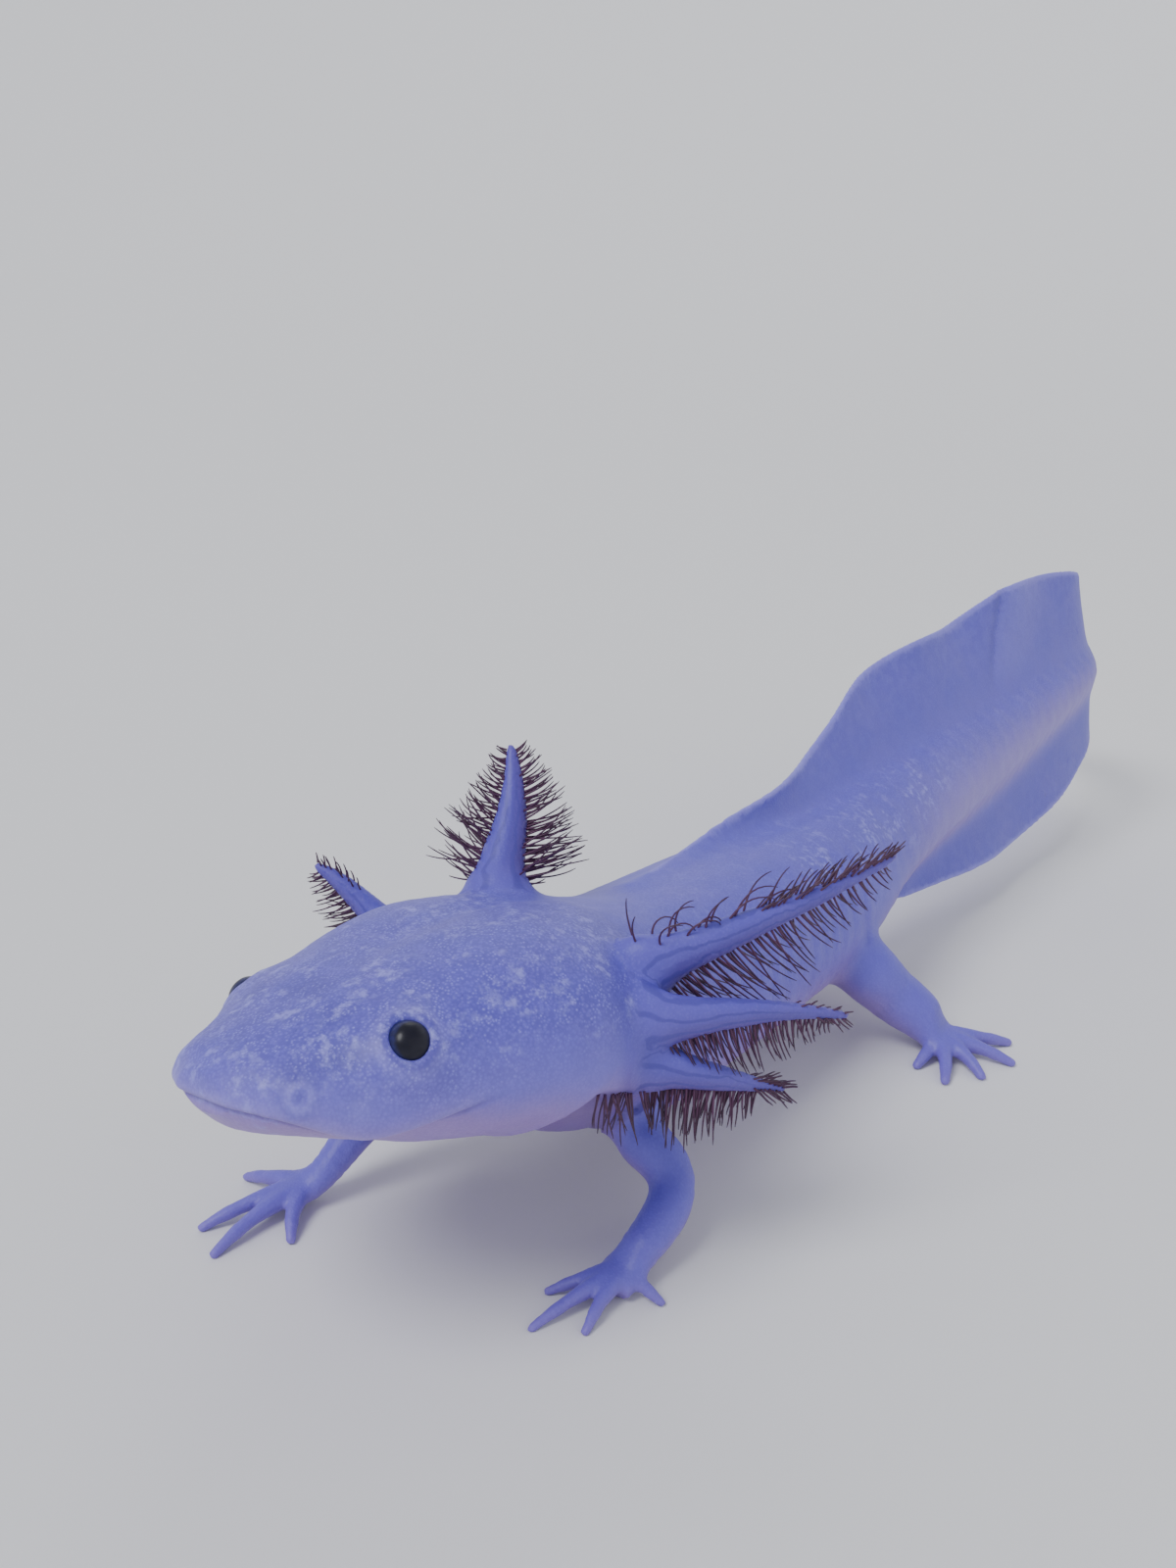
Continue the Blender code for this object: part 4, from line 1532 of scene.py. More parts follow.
    def fine_places(self, local: Rows) -> Rows:
        """Which points of the head need a finer net.

        Args:
            local: the vertices in the head's own axes.

        Returns:
            True where the net has to be finer.
        """
        lip = self.lip_height(local[:, 1])
        near = (np.abs(local[:, 2] - lip) < self.fine_lip) & (np.abs(local[:, 0]) < 13.0)
        near &= (local[:, 1] > self.lip_line[-1][0]) & (local[:, 1] < 1.0)
        reaches = ((self.eye_place, self.fine_eye), (self.nostril_place, self.fine_nostril))
        for side in Side:
            for centre, reach in reaches:
                place = np.array(centre) * [side.value, 1, 1]
                near |= np.linalg.norm(local - place, axis=1) < reach
        return near

    def lip_height(self, ahead: Rows) -> Rows:
        """Height of the closed mouth along the head.

        Args:
            ahead: how far ahead each vertex is.

        Returns:
            Millimetres over the chin.
        """
        line = np.array(self.lip_line[::-1])
        fine = np.linspace(line[0, 0], line[-1, 0], self.lip_samples)
        rough = np.interp(fine, line[:, 0], line[:, 1])
        padded = np.pad(rough, self.lip_evening, mode="edge")
        span = 2 * self.lip_evening + 1
        soft = np.convolve(padded, np.ones(span) / span, mode="valid")
        return np.interp(ahead, fine, soft)

    def slim(self, skin: Thing) -> None:
        """Brings the skin under the limit on triangles, if it is over it.

        Args:
            skin: the skin.
        """
        triangles = sum(len(face.vertices) - 2 for face in skin.data.polygons)
        if triangles > self.most_triangles:
            finish_modifier(skin, "DECIMATE", ratio=self.most_triangles / triangles)
        log.info("skin: %d triangles before slimming", triangles)

    def nodes(self) -> list[str]:
        """The names of every node that the skin stands for.

        Returns:
            The names.
        """
        core = ["head", "lower_jaw", "neck", "trunk_front", "trunk_rear"]
        tail = ["tail_base", "tail_mid", "tail_tip", "back_fin"]
        parts = ("base", "mid", "tip")
        fins = [f"tail_fin_{edge}_{part}" for edge in ("top", "low") for part in parts]
        stalks = [gill.node for gill in self.gills.gills]
        return core + tail + fins + stalks + self.limbs.nodes()


class Tint(Enum):
    """Colours of the skin, linear. The deep blue of the back tint is the blue lamp light painted
    into the skin, the shade, crease and throat tints are painted shade, and the pale rim tint is
    also used as painted light.
    """

    # deep blue of the upward-facing skin: the blue lamp light painted in
    BACK = (0.125, 0.112, 0.60)
    CHEEK = (0.20, 0.172, 0.70)
    BELLY = (0.35, 0.225, 0.56)
    FIN = (0.11, 0.10, 0.60)
    MUSCLE = (0.33, 0.255, 0.66)
    STALK = (0.085, 0.068, 0.50)
    BLOOD = (0.085, 0.038, 0.24)
    # throat tint: partly its own mauve, partly painted shade of the recess under the jaw
    THROAT = (0.21, 0.12, 0.34)
    BLUSH = (0.18, 0.135, 0.60)
    # painted shade for the crease of the mouth
    CREASE = (0.075, 0.045, 0.24)
    # a pale tint for rims, rings and spots, also used as painted light beyond the fin's fold
    RIM = (0.33, 0.31, 0.88)
    SHADE = (0.055, 0.045, 0.34)


@dataclass
class Relief:
    """The folds, creases and colours of the skin, worked out for every vertex at once.

    Each pair is how far a form stands out of the skin, or sinks into it, and how wide it is, in
    millimetres. On a gill stalk the widths are shares of its radius. The rounds say how many
    times a colour or a mask is blended with its neighbours'.
    """

    form: Skin
    skin: Thing
    runs: list[Run]
    lip_crease: Pair = (-0.3, 0.2)
    upper_lip: Pair = (0.16, 0.6)
    cheek_lobe: Pair = (0.3, 0.9)
    cheek_lobe_ahead: float = -8.6
    lip_above_line: float = 0.7
    jaw_inset: float = -0.3
    eye_dome: Pair = (0.62, 2.2)
    eye_lid: Pair = (0.08, 0.28)
    eye_socket: float = -0.6
    nostril_rim: Pair = (0.05, 0.2)
    nostril_hole: Pair = (-0.15, 0.3)
    nose_hollow: Pair = (-0.22, 1.0)
    nose_hollow_ahead: float = -6.2
    jaw_muscle: Pair = (0.5, 4.6)
    crown_furrow: Pair = (-0.34, 1.7)
    brow_hollow: Pair = (-0.16, 3.2)
    temple_hollow: Pair = (-0.25, 3.2)
    jaw_rim: Pair = (0.18, 0.8)
    throat_fold: Pair = (-0.2, 0.45)
    throat_inset: Pair = (-0.4, -0.7)
    line_samples: int = 480
    ribs: int = 11
    rib_start_y: float = -18.0
    rib_end_y: float = 11.0
    rib_wave: float = -0.07
    rib_groove: Pair = (-0.05, 0.3)
    segment_start_y: float = 12.0
    segment_length: float = 3.1
    segment_wave: float = 0.028
    stalk_ridge: Pair = (0.07, 0.3)
    stalk_groove: Pair = (-0.09, 0.16)
    wrinkle: float = 0.04
    slow_lumps: float = 0.07
    quick_lumps: float = 0.025
    fold_place: float = 122.5
    fold_slant: float = 9.0
    fold_depth: float = 0.8
    fold_reach: float = 2.0
    fin_wave: float = 0.3
    colour_rounds: int = 40
    grain_rounds: int = 30
    patch_rounds: int = 8
    stalk_rounds: int = 20
    below_rounds: int = 4
    # painted shade in the hollow from nostril to eye and on the brow: place, width, strength
    smudges: tuple[tuple[Place, float, float], ...] = (
        ((5.7, -4.6, 8.3), 0.9, 0.45),
        ((6.6, -6.4, 8.7), 1.1, 0.57),
        ((7.3, -7.8, 9.0), 1.0, 0.45),
        ((4.2, -8.6, 10.9), 1.3, 0.42),
        ((0.7, -9.7, 11.7), 1.2, 0.375),
    )
    mottle_start_y: float = -4.0
    mottle_end_y: float = 44.0
    # places of painted shade in the notches between the gill roots
    notches: tuple[Place, ...] = ((10.4, -34.0, 8.4), (13.0, -29.2, 5.8))
    notch_reach: float = 1.9
    pale_spot: Place = (7.9, -7.6, 5.8)

    def __post_init__(self) -> None:
        """Finds what each vertex covers and where it is on the body."""
        self.points = read_points(self.skin)
        self.local = self.form.body.pose.local(self.points)
        nearest = Nearest(self.runs, self.points)
        self.flesh, self.along = nearest.flesh, nearest.along
        self.below = np.einsum("ij,ij->i", nearest.offset, nearest.hang) / nearest.size
        self.net = Net(self.skin)
        self.find_place()

    def find_place(self) -> None:
        """Each vertex's place along the body's middle line, and across and above it."""
        body = self.form.body
        places = np.linspace(0.0, body.length, self.line_samples)
        rings = [body.ring_at(place) for place in places]
        centres = np.array([ring.centre for ring in rings])
        tree = KDTree(len(centres))
        for index, centre in enumerate(centres):
            tree.insert(centre, index)
        tree.balance()
        nearest = np.array([tree.find(point)[1] for point in self.points])
        offset = self.points - centres[nearest]
        lefts = np.array([ring.left for ring in rings])[nearest]
        ups = np.array([ring.up for ring in rings])[nearest]
        forward = np.cross(ups, lefts)
        step = np.einsum("ij,ij->i", offset, forward)
        self.place = places[nearest] - step
        self.left = lefts
        self.across = np.einsum("ij,ij->i", offset, lefts)
        self.height = np.einsum("ij,ij->i", offset, ups)
        sizes = np.array([(r.half_width, r.rise, r.drop, r.top_fin, r.low_fin) for r in rings])
        self.half_width, self.rise, self.drop, self.top_fin, self.low_fin = sizes[nearest].T
        self.reach = np.where(self.height > 0, self.rise, self.drop)

    def is_flesh(self, *kinds: Flesh) -> Rows:
        """1 where the skin covers one of these, else 0."""
        return np.isin(self.flesh, [kind.value for kind in kinds]).astype(float)

    def spread(self, values: Rows, rounds: int) -> Rows:
        """Blends every vertex's value with its neighbours', over and over.

        Args:
            values: a number or a row of numbers for every vertex.
            rounds: how many times they are blended.

        Returns:
            The blended values.
        """
        for _ in range(rounds):
            values = 0.5 * values + 0.5 * self.net.around(values)
        return values

    def from_point(self, place: Place, side: Side) -> Rows:
        """Every vertex's distance from a point of the head."""
        return np.linalg.norm(self.local - np.array(place) * [side.value, 1, 1], axis=1)

    def jaw_edge(self) -> Rows:
        """How far ahead each vertex is of the jaw's rear edge, which the throat hangs behind.

        Returns:
            Millimetres, negative behind the edge.
        """
        left, ahead, up = self.local.T
        middle = np.clip(1.0 - (left / 11.0) ** 2, 0.0, 1.0)
        return ahead + 19.0 + 0.95 * np.clip(up, 0.0, 8.0) + 2.5 * middle

    def under_jaw(self) -> Rows:
        """1 in the throat, below the line from the jaw's rear corner to the lowest gill.

        Returns:
            A share for every vertex.
        """
        _, ahead, up = self.local.T
        line = 4.2 - 0.28 * np.clip(-22.3 - ahead, 0.0, 12.0)
        below = smooth_step(0.5, -1.6, up - line) * smooth_step(-38.0, -31.0, ahead)
        return below * smooth_step(0.1, -1.6, self.jaw_edge())

    def carve(self) -> None:
        """Moves every vertex along its normal by all the relief together."""
        normals = read_normals(self.skin)
        depth = self.mouth() + self.eyes() + self.nose() + self.crown() + self.throat()
        depth = (depth + self.flanks()) * self.is_flesh(Flesh.CORE)
        depth = depth + self.tail() + self.stalks() + self.legs() + self.lumps() * 0.5
        self.points = self.points + normals * depth[:, None]
        self.points = self.points + self.left * self.fin_sway()[:, None]
        self.rest_on_floor()
        write_points(self.skin, self.points)

    def mouth(self) -> Rows:
        """The closed mouth: a crease under a soft upper lip that hangs over the jaw.

        Returns:
            How far out each vertex moves, in millimetres.
        """
        left, ahead, up = self.local.T
        over = up - self.form.lip_height(ahead)
        inside = smooth_step(-16.5, -13.5, ahead) * (np.abs(left) < 14)
        full = smooth_step(-14.5, -12.0, ahead)
        crease = swell(self.lip_crease, over) * (0.3 * inside + 0.7 * full)
        above = over - self.lip_above_line
        lip = swell(self.upper_lip, above) * full
        lobe = swell(self.cheek_lobe, above) * hill(ahead - self.cheek_lobe_ahead, 2.6)
        jaw = self.jaw_inset * smooth_step(0.1, -0.4, over) * smooth_step(-3.6, -1.0, over) * full
        return crease + lip + lobe + jaw

    def eyes(self) -> Rows:
        """A low dome under each eye, with a thin soft lid edge.

        Returns:
            How far out each vertex moves, in millimetres.
        """
        depth = np.zeros(len(self.points))
        for side in Side:
            away = self.from_point(self.form.eye_place, side)
            depth += swell(self.eye_dome, away - 0.8) + swell(self.eye_lid, away - 1.75)
            depth += self.eye_socket * smooth_step(1.45, 0.9, away)
        return depth

    def nose(self) -> Rows:
        """Nostrils with a faint raised ring, and a hollow that runs back towards the eye.

        Returns:
            How far out each vertex moves, in millimetres.
        """
        depth = np.zeros(len(self.points))
        left, ahead, up = self.local.T
        for side in Side:
            away = self.from_point(self.form.nostril_place, side)
            depth += swell(self.nostril_rim, away - 0.62) + swell(self.nostril_hole, away)
            along = ahead - self.nose_hollow_ahead
            away = np.hypot(left * side.value - 6.5 + 0.5 * along, (up - 8.7) * 1.1)
            depth += swell(self.nose_hollow, away) * hill(along, 2.4)
        return depth

    def crown(self) -> Rows:
        """Jaw muscles that bulge behind the eyes, with a faint furrow between them.

        Returns:
            How far out each vertex moves, in millimetres.
        """
        left, ahead, up = self.local.T
        aside = np.abs(left)
        above = smooth_step(6.0, 9.0, up)
        muscle = swell(self.jaw_muscle, np.hypot(aside - 7.2, (ahead + 20.5) * 0.72))
        furrow = swell(self.crown_furrow, left) * smooth_step(-12.0, -17.0, ahead)
        furrow = furrow * smooth_step(-33.0, -29.0, ahead)
        brow = swell(self.brow_hollow, left) * hill(ahead + 9.0, 4.0)
        temple = swell(self.temple_hollow, np.hypot(aside - 10.5, (ahead + 29.0) * 0.8))
        return above * (muscle + furrow + brow + temple)

    def throat(self) -> Rows:
        """The throat, set back behind the jaw's edge, and its cross fold.

        Returns:
            How far out each vertex moves, in millimetres.
        """
        left, _, up = self.local.T
        edge = self.jaw_edge()
        hidden = self.under_jaw()
        rim = swell(self.jaw_rim, edge - 0.5) * smooth_step(6.4, 4.4, up)
        side = smooth_step(4.0, 9.0, np.abs(left))
        fold = swell(self.throat_fold, edge + 4.6) * hidden * (1 - side)
        middle, more = self.throat_inset
        return hidden * (middle + more * side) + rim + fold

    def flanks(self) -> Rows:
        """Rib grooves between the front and hind legs.

        Returns:
            How far out each vertex moves, in millimetres.
        """
        start = self.form.body.place_of_y(self.rib_start_y)
        end = self.form.body.place_of_y(self.rib_end_y)
        spacing = (end - start) / self.ribs
        inside = smooth_step(start - 1.0, start + 2.0, self.place)
        inside *= smooth_step(end + 1.0, end - 2.0, self.place)
        phase = self.place - 0.12 * np.abs(self.height + 1.0)
        away = np.abs((phase - start + spacing / 2) % spacing - spacing / 2)
        share = self.height / self.reach
        side = smooth_step(0.86, 0.5, share) * smooth_step(-0.9, -0.55, -np.abs(share))
        wave = self.rib_wave * np.cos(2 * math.pi * away / spacing)
        return inside * side * (wave + swell(self.rib_groove, away))

    def tail(self) -> Rows:
        """Faint muscle segments that zigzag down the tail.

        Returns:
            How far out each vertex moves, in millimetres.
        """
        start = self.form.body.place_of_y(self.segment_start_y)
        inside = smooth_step(start, start + 8.0, self.place)
        share = np.clip(np.abs(self.height) / self.reach, 0.0, 2.0)
        phase = self.place + 2.4 * np.abs(share - 0.45)
        wave = np.cos(2 * math.pi * phase / self.segment_length)
        muscle = smooth_step(1.15, 0.85, share) * smooth_step(0.6, 1.6, self.half_width)
        return inside * self.is_flesh(Flesh.CORE, Flesh.FIN) * muscle * self.segment_wave * wave

    def stalks(self) -> Rows:
        """A groove along each gill stalk over the filaments, and a soft ridge along its top.

        Returns:
            How far out each vertex moves, in millimetres.
        """
        stalk = self.is_flesh(Flesh.STALK) * smooth_step(0.05, 0.25, self.along)
        stalk = stalk * smooth_step(1.0, 0.8, self.along)
        ridge = swell(self.stalk_ridge, self.below + 0.6)
        return stalk * (ridge + swell(self.stalk_groove, self.below - 0.35))

    def legs(self) -> Rows:
        """Soft wrinkles at elbows, knees and wrists.

        Returns:
            How far out each vertex moves, in millimetres.
        """
        elbow = hill(self.along - 1.0, 0.28) + 0.7 * hill(self.along - 2.0, 0.2)
        x, y, z = self.points.T
        fine = np.sin(x * 5.1 + y * 4.3 + z * 6.0)
        return self.is_flesh(Flesh.LIMB) * elbow * self.wrinkle * fine

    def lumps(self) -> Rows:
        """Slow unevenness of living skin.

        Returns:
            How far out each vertex moves, in millimetres.
        """
        x, y, z = self.points.T
        slow = np.sin(x * 0.9 + 1.3 * np.sin(y * 0.37)) * np.sin(y * 0.71 + 1.1 * np.sin(z * 0.53))
        quick = np.sin(x * 2.3 + y * 1.9 + 2.0 * np.sin(z * 1.1)) * np.sin(y * 2.7 - z * 2.1)
        thin = self.is_flesh(Flesh.FIN, Flesh.TOE)
        return (self.slow_lumps * slow + self.quick_lumps * quick) * (1.0 - 0.8 * thin)

    def fin_share(self) -> Rows:
        """0 where a fin starts and 1 at its edge, on either fin.

        Returns:
            A share for every vertex, 0 off the fins.
        """
        top = (self.height - self.rise) / np.maximum(self.top_fin, 0.5)
        low = (-self.height - self.drop) / np.maximum(self.low_fin, 0.5)
        fin = (self.is_flesh(Flesh.FIN, Flesh.CORE) > 0) & (np.abs(self.across) < 3.5)
        return np.where(fin, np.clip(np.maximum(top, low), 0.0, 1.0), 0.0)

    def past_fold(self) -> Rows:
        """How far each vertex is past the slanting fold across the top fin, near the tail's end."""
        return self.place - self.fold_place - self.fold_slant * self.fin_share()

    def fin_sway(self) -> Rows:
        """A broad gentle wave of the fins, and one fold across the top fin near the tail's end.

        Returns:
            How far left each vertex moves, in millimetres.
        """
        share = self.fin_share()
        fold = self.fold_depth * np.exp(-np.abs(self.past_fold()) / self.fold_reach)
        fold = fold * (self.height > 0)
        return share**2 * self.fin_wave * np.sin(self.place * 0.19 + 0.7) - share * fold

    def rest_on_floor(self) -> None:
        """Presses the soles and toes flat at floor level."""
        self.points[:, 2] = np.maximum(self.points[:, 2], 0.0)

    def paint(self) -> None:
        """Writes the colour and mask attributes that the finish reads."""
        self.base_colour(read_normals(self.skin))
        self.tail_colour()
        self.blush()
        self.colour = self.spread(self.colour, self.colour_rounds)
        self.features()
        tint = self.skin.data.attributes.new("tint", "FLOAT_COLOR", "POINT")
        rgba = np.pad(np.clip(self.colour, 0, 1), ((0, 0), (0, 1)), constant_values=1.0)
        tint.data.foreach_set("color", rgba.astype(np.float32).ravel())
        self.speckle()
        self.write_mask("thin", self.fin_share())
        stalk = self.spread(self.is_flesh(Flesh.STALK), self.stalk_rounds)
        self.write_mask("stalk", stalk * smooth_step(0.95, 0.6, self.along))
        self.write_mask("below", self.spread(np.clip(self.below, -1.5, 1.5), self.below_rounds))

    def speckle(self) -> None:
        """Writes the masks of granules and pale patches: crown, cheeks, back and tail base."""
        left, ahead, up = self.local.T
        core = self.is_flesh(Flesh.CORE)
        head = smooth_step(-36.0, -26.0, ahead) * core
        crown = smooth_step(6.5, 10.5, up) * head
        cheek = 0.7 * hill(np.hypot(np.abs(left) - 9.0, (ahead + 12.5) * 0.8), 5.0)
        cheek = cheek * smooth_step(4.2, 7.0, up) * head
        start = self.form.body.place_of_y(self.mottle_start_y)
        end = self.form.body.place_of_y(self.mottle_end_y)
        tail = smooth_step(start, start + 8.0, self.place)
        tail = tail * smooth_step(end, end - 14.0, self.place)
        tail = tail * hill(self.height / self.rise - 0.45, 0.45) * core
        back = smooth_step(-0.1, 0.6, self.height / self.rise) * core
        grain = np.clip(0.14 + 0.86 * np.maximum(crown, cheek) + 0.22 * back, 0, 1)
        self.write_mask("grain", self.spread(grain, self.grain_rounds))
        patches = smooth_step(-2.0, -9.0, ahead) * crown + 0.7 * hill(ahead + 3.0, 3.5) * head
        for side in Side:
            nostril = self.from_point(self.form.nostril_place, side)
            patches = patches * smooth_step(1.0, 2.4, nostril)
        patches = np.clip(patches + tail + 0.2 * back, 0, 1)
        self.write_mask("patch", self.spread(patches, self.patch_rounds))

    def write_mask(self, name: str, values: Rows) -> None:
        """Stores one number per vertex."""
        layer = self.skin.data.attributes.new(name, "FLOAT", "POINT")
        layer.data.foreach_set("value", values.astype(np.float32))

    def mix(self, tint: Tint, share: Rows) -> None:
        """Blends a tint into the vertices' colours."""
        share = np.clip(share, 0.0, 1.0)[:, None]
        self.colour = self.colour * (1 - share) + np.array(tint.value) * share

    def base_colour(self, normals: Rows) -> None:
        """Blue-violet above, paler cheeks and flanks, and a pale rosy violet below. The colour
        follows which way the skin faces: its blue cast is painted light from the blue lamp above,
        and the rosy underside is partly the belly's own pale colour and partly painted as lying out
        of that light.

        Args:
            normals: the skin's normals.
        """
        _, ahead, up = self.local.T
        # painted light: the upward-facing skin keeps the deep blue of the lamp light falling from
        # above
        self.colour = np.tile(np.array(Tint.BACK.value), (len(self.points), 1))
        head = smooth_step(-34.0, -28.0, ahead) * self.is_flesh(Flesh.CORE)
        self.mix(Tint.CHEEK, head * smooth_step(10.5, 5.0, up) * 0.9)
        # paler on the flanks and rosy below, by the way the surface faces: partly own colour,
        # partly painted light and shade
        self.mix(Tint.CHEEK, (1 - head) * smooth_step(0.75, -0.1, normals[:, 2]) * 0.6)
        self.mix(Tint.BELLY, smooth_step(0.15, -0.7, normals[:, 2]))
        self.mix(Tint.BELLY, head * smooth_step(4.6, 2.2, up) * 0.7)

    def tail_colour(self) -> None:
        """Thin deep blue fins on either edge of a paler band of muscle."""
        self.mix(Tint.FIN, smooth_step(0.0, 0.3, self.fin_share()) * 0.92)
        share = self.height / self.reach
        band = hill(share + 0.4, 0.7) * smooth_step(78.0, 104.0, self.place)
        self.mix(Tint.MUSCLE, band * self.is_flesh(Flesh.CORE) * 0.95)

    def blush(self) -> None:
        """Deeper tints where blood shows: gill stalks, legs and toes, with the stalks' tint spread
        onto the head round their roots, and painted shade along the stalks' grooves and in the
        throat, which is set back under the jaw and partly its own mauve.
        """
        left, ahead, up = self.local.T
        stalk = self.is_flesh(Flesh.STALK)
        self.mix(Tint.STALK, stalk * (0.45 + 0.25 * self.along))
        under = smooth_step(-0.1, 0.8, self.below) * smooth_step(0.02, 0.2, self.along)
        self.mix(Tint.BLOOD, stalk * 0.75 * under)
        # painted shade in the groove along each stalk, over its filaments
        groove = stalk * 0.5 * hill(self.below - 0.3, 0.16) * smooth_step(0.1, 0.3, self.along)
        self.mix(Tint.SHADE, groove)
        core = self.is_flesh(Flesh.CORE)
        near = hill(np.hypot(ahead + 31.0, (np.abs(left) - 11.0) * 0.8), 4.4) * (1 - stalk)
        self.mix(Tint.STALK, 0.5 * near * smooth_step(-1.0, 2.0, up) * core)
        # painted shade in the recessed throat under the jaw's edge, over its own mauve
        self.mix(Tint.THROAT, 0.75 * self.under_jaw() * core)
        shin = smooth_step(0.6, 2.4, self.along)
        self.mix(Tint.BLUSH, 0.25 * self.is_flesh(Flesh.LIMB) * shin)
        self.mix(Tint.BLUSH, self.is_flesh(Flesh.TOE) * (0.15 + 0.3 * self.along))

    def features(self) -> None:
        """Colour of the fins' rims, the pale edges of lips and nostrils, the pale rings round the
        eyes and the pale spots, with painted light and shade at the top fin's fold, and painted
        shade in the mouth crease, the nostril pits, at the lid edges, along the hollows from
        nostril to eye and brow, and between the gill roots.
        """
        _, ahead, up = self.local.T
        core = self.is_flesh(Flesh.CORE)
        over = up - self.form.lip_height(ahead)
        inside = smooth_step(-16.8, -13.0, ahead) * core
        share, past = self.fin_share(), self.past_fold()
        folded = smooth_step(0.02, 0.35, share) * (self.height > 0)
        lit = smooth_step(-0.4, 0.5, past) * smooth_step(16.0, 4.0, past)
        # painted light on the far side of the fold across the top fin, and a painted shade line
        # along the fold itself
        self.mix(Tint.RIM, 0.26 * lit * folded)
        self.mix(Tint.SHADE, 0.2 * hill(past + 0.9, 0.9) * folded)
        self.mix(Tint.RIM, 0.55 * smooth_step(0.955, 0.985, share))
        self.mix(Tint.BELLY, 0.6 * smooth_step(-0.1, -0.5, over) * inside * (over > -5))
        # painted shade in the crease of the closed mouth
        self.mix(Tint.CREASE, 0.5 * hill(over, 0.2) * inside)
        self.mix(Tint.RIM, 0.3 * hill(over - 0.6, 0.4) * inside)
        for side in Side:
            eye = self.from_point(self.form.eye_place, side)
            # painted shade round the eye, at the lid's edge over the socket
            self.mix(Tint.SHADE, 0.5 * hill(eye - 1.68, 0.26) * core)
            self.mix(Tint.RIM, 0.4 * hill(eye - 2.1, 0.35) * core)
            nose = self.from_point(self.form.nostril_place, side)
            # painted shade in the nostril's pit and just outside its raised rim
            self.mix(Tint.SHADE, 0.85 * hill(nose, 0.36) * core)
            self.mix(Tint.SHADE, 0.3 * hill(nose - 1.15, 0.22) * core)
            self.mix(Tint.RIM, 0.55 * hill(nose - 0.78, 0.22) * core)
            # painted shade along the nose and brow hollows
            for place, wide, strength in self.smudges:
                hollow_shade = hill(self.from_point(place, side), wide)
                self.mix(Tint.SHADE, strength * hollow_shade * core)
            # painted shade in the notches between the gill stalks' roots
            for place in self.notches:
                notch_shade = hill(self.from_point(place, side), self.notch_reach)
                self.mix(Tint.SHADE, 0.6 * notch_shade)
            pale = hill(self.from_point(self.pale_spot, side), 0.7)
            self.mix(Tint.RIM, 0.6 * pale * core)


# ---------------- eyes


@dataclass
class Eyeball:
    """One smooth black eye, in millimetres. It looks mostly to the side and a little up."""

    side: Side
    body: BodyForm
    place: Place
    radius: float
    flattening: float = 0.18
    flat_from: float = 0.7
    look: Place = (0.86, 0.18, 0.42)
    segments: int = 48
    rings: int = 24

    @property
    def node(self) -> str:
        """The node that the eye stands for."""
        return "eye_" + self.side.word

    def build(self) -> Thing:
        """A round ball, its outer face pressed a little flatter.

        Returns:
            The ball.
        """
        pose = self.body.pose
        left, ahead, up = self.place
        centre = pose.place(left * self.side.value, ahead, up)
        deselect()
        bpy.ops.mesh.primitive_uv_sphere_add(
            segments=self.segments, ring_count=self.rings, radius=self.radius * MM
        )
        ball = bpy.context.object
        ball.name = self.node + "_ball"
        with editing():
            bpy.ops.mesh.select_all(action="DESELECT")
        height = self.radius * self.flat_from * MM
        for vertex in ball.data.vertices:
            vertex.select = vertex.co.z > height
        with editing():
            flat = (1.0, 1.0, 1.0 - self.flattening)
            bpy.ops.transform.resize(value=flat, center_override=(0, 0, height))
        aside, forward, raised = self.look
        out = (pose.left * self.side.value * aside + pose.up * raised).normalized()
        out = (out + pose.ahead * forward).normalized()
        turn = Vector((0.0, 0.0, 1.0)).rotation_difference(out).to_matrix().to_4x4()
        ball.data.transform(Matrix.Translation(centre * MM) @ turn)
        ball.data.shade_smooth()
        self.paint(ball, centre, out)
        return ball

    def paint(self, ball: Thing, centre: Vector, out: Vector) -> None:
        """Marks how far each vertex is from the middle of the pupil, as an angle.

        Args:
            ball: the ball.
            centre: its middle, in millimetres.
            out: the way it looks.
        """
        offset = read_points(ball) - np.array(centre)
        share = offset @ np.array(out) / np.linalg.norm(offset, axis=1)
        layer = ball.data.attributes.new("turn", "FLOAT", "POINT")
        layer.data.foreach_set("value", np.arccos(np.clip(share, -1, 1)).astype(np.float32))


# ---------------- finishes


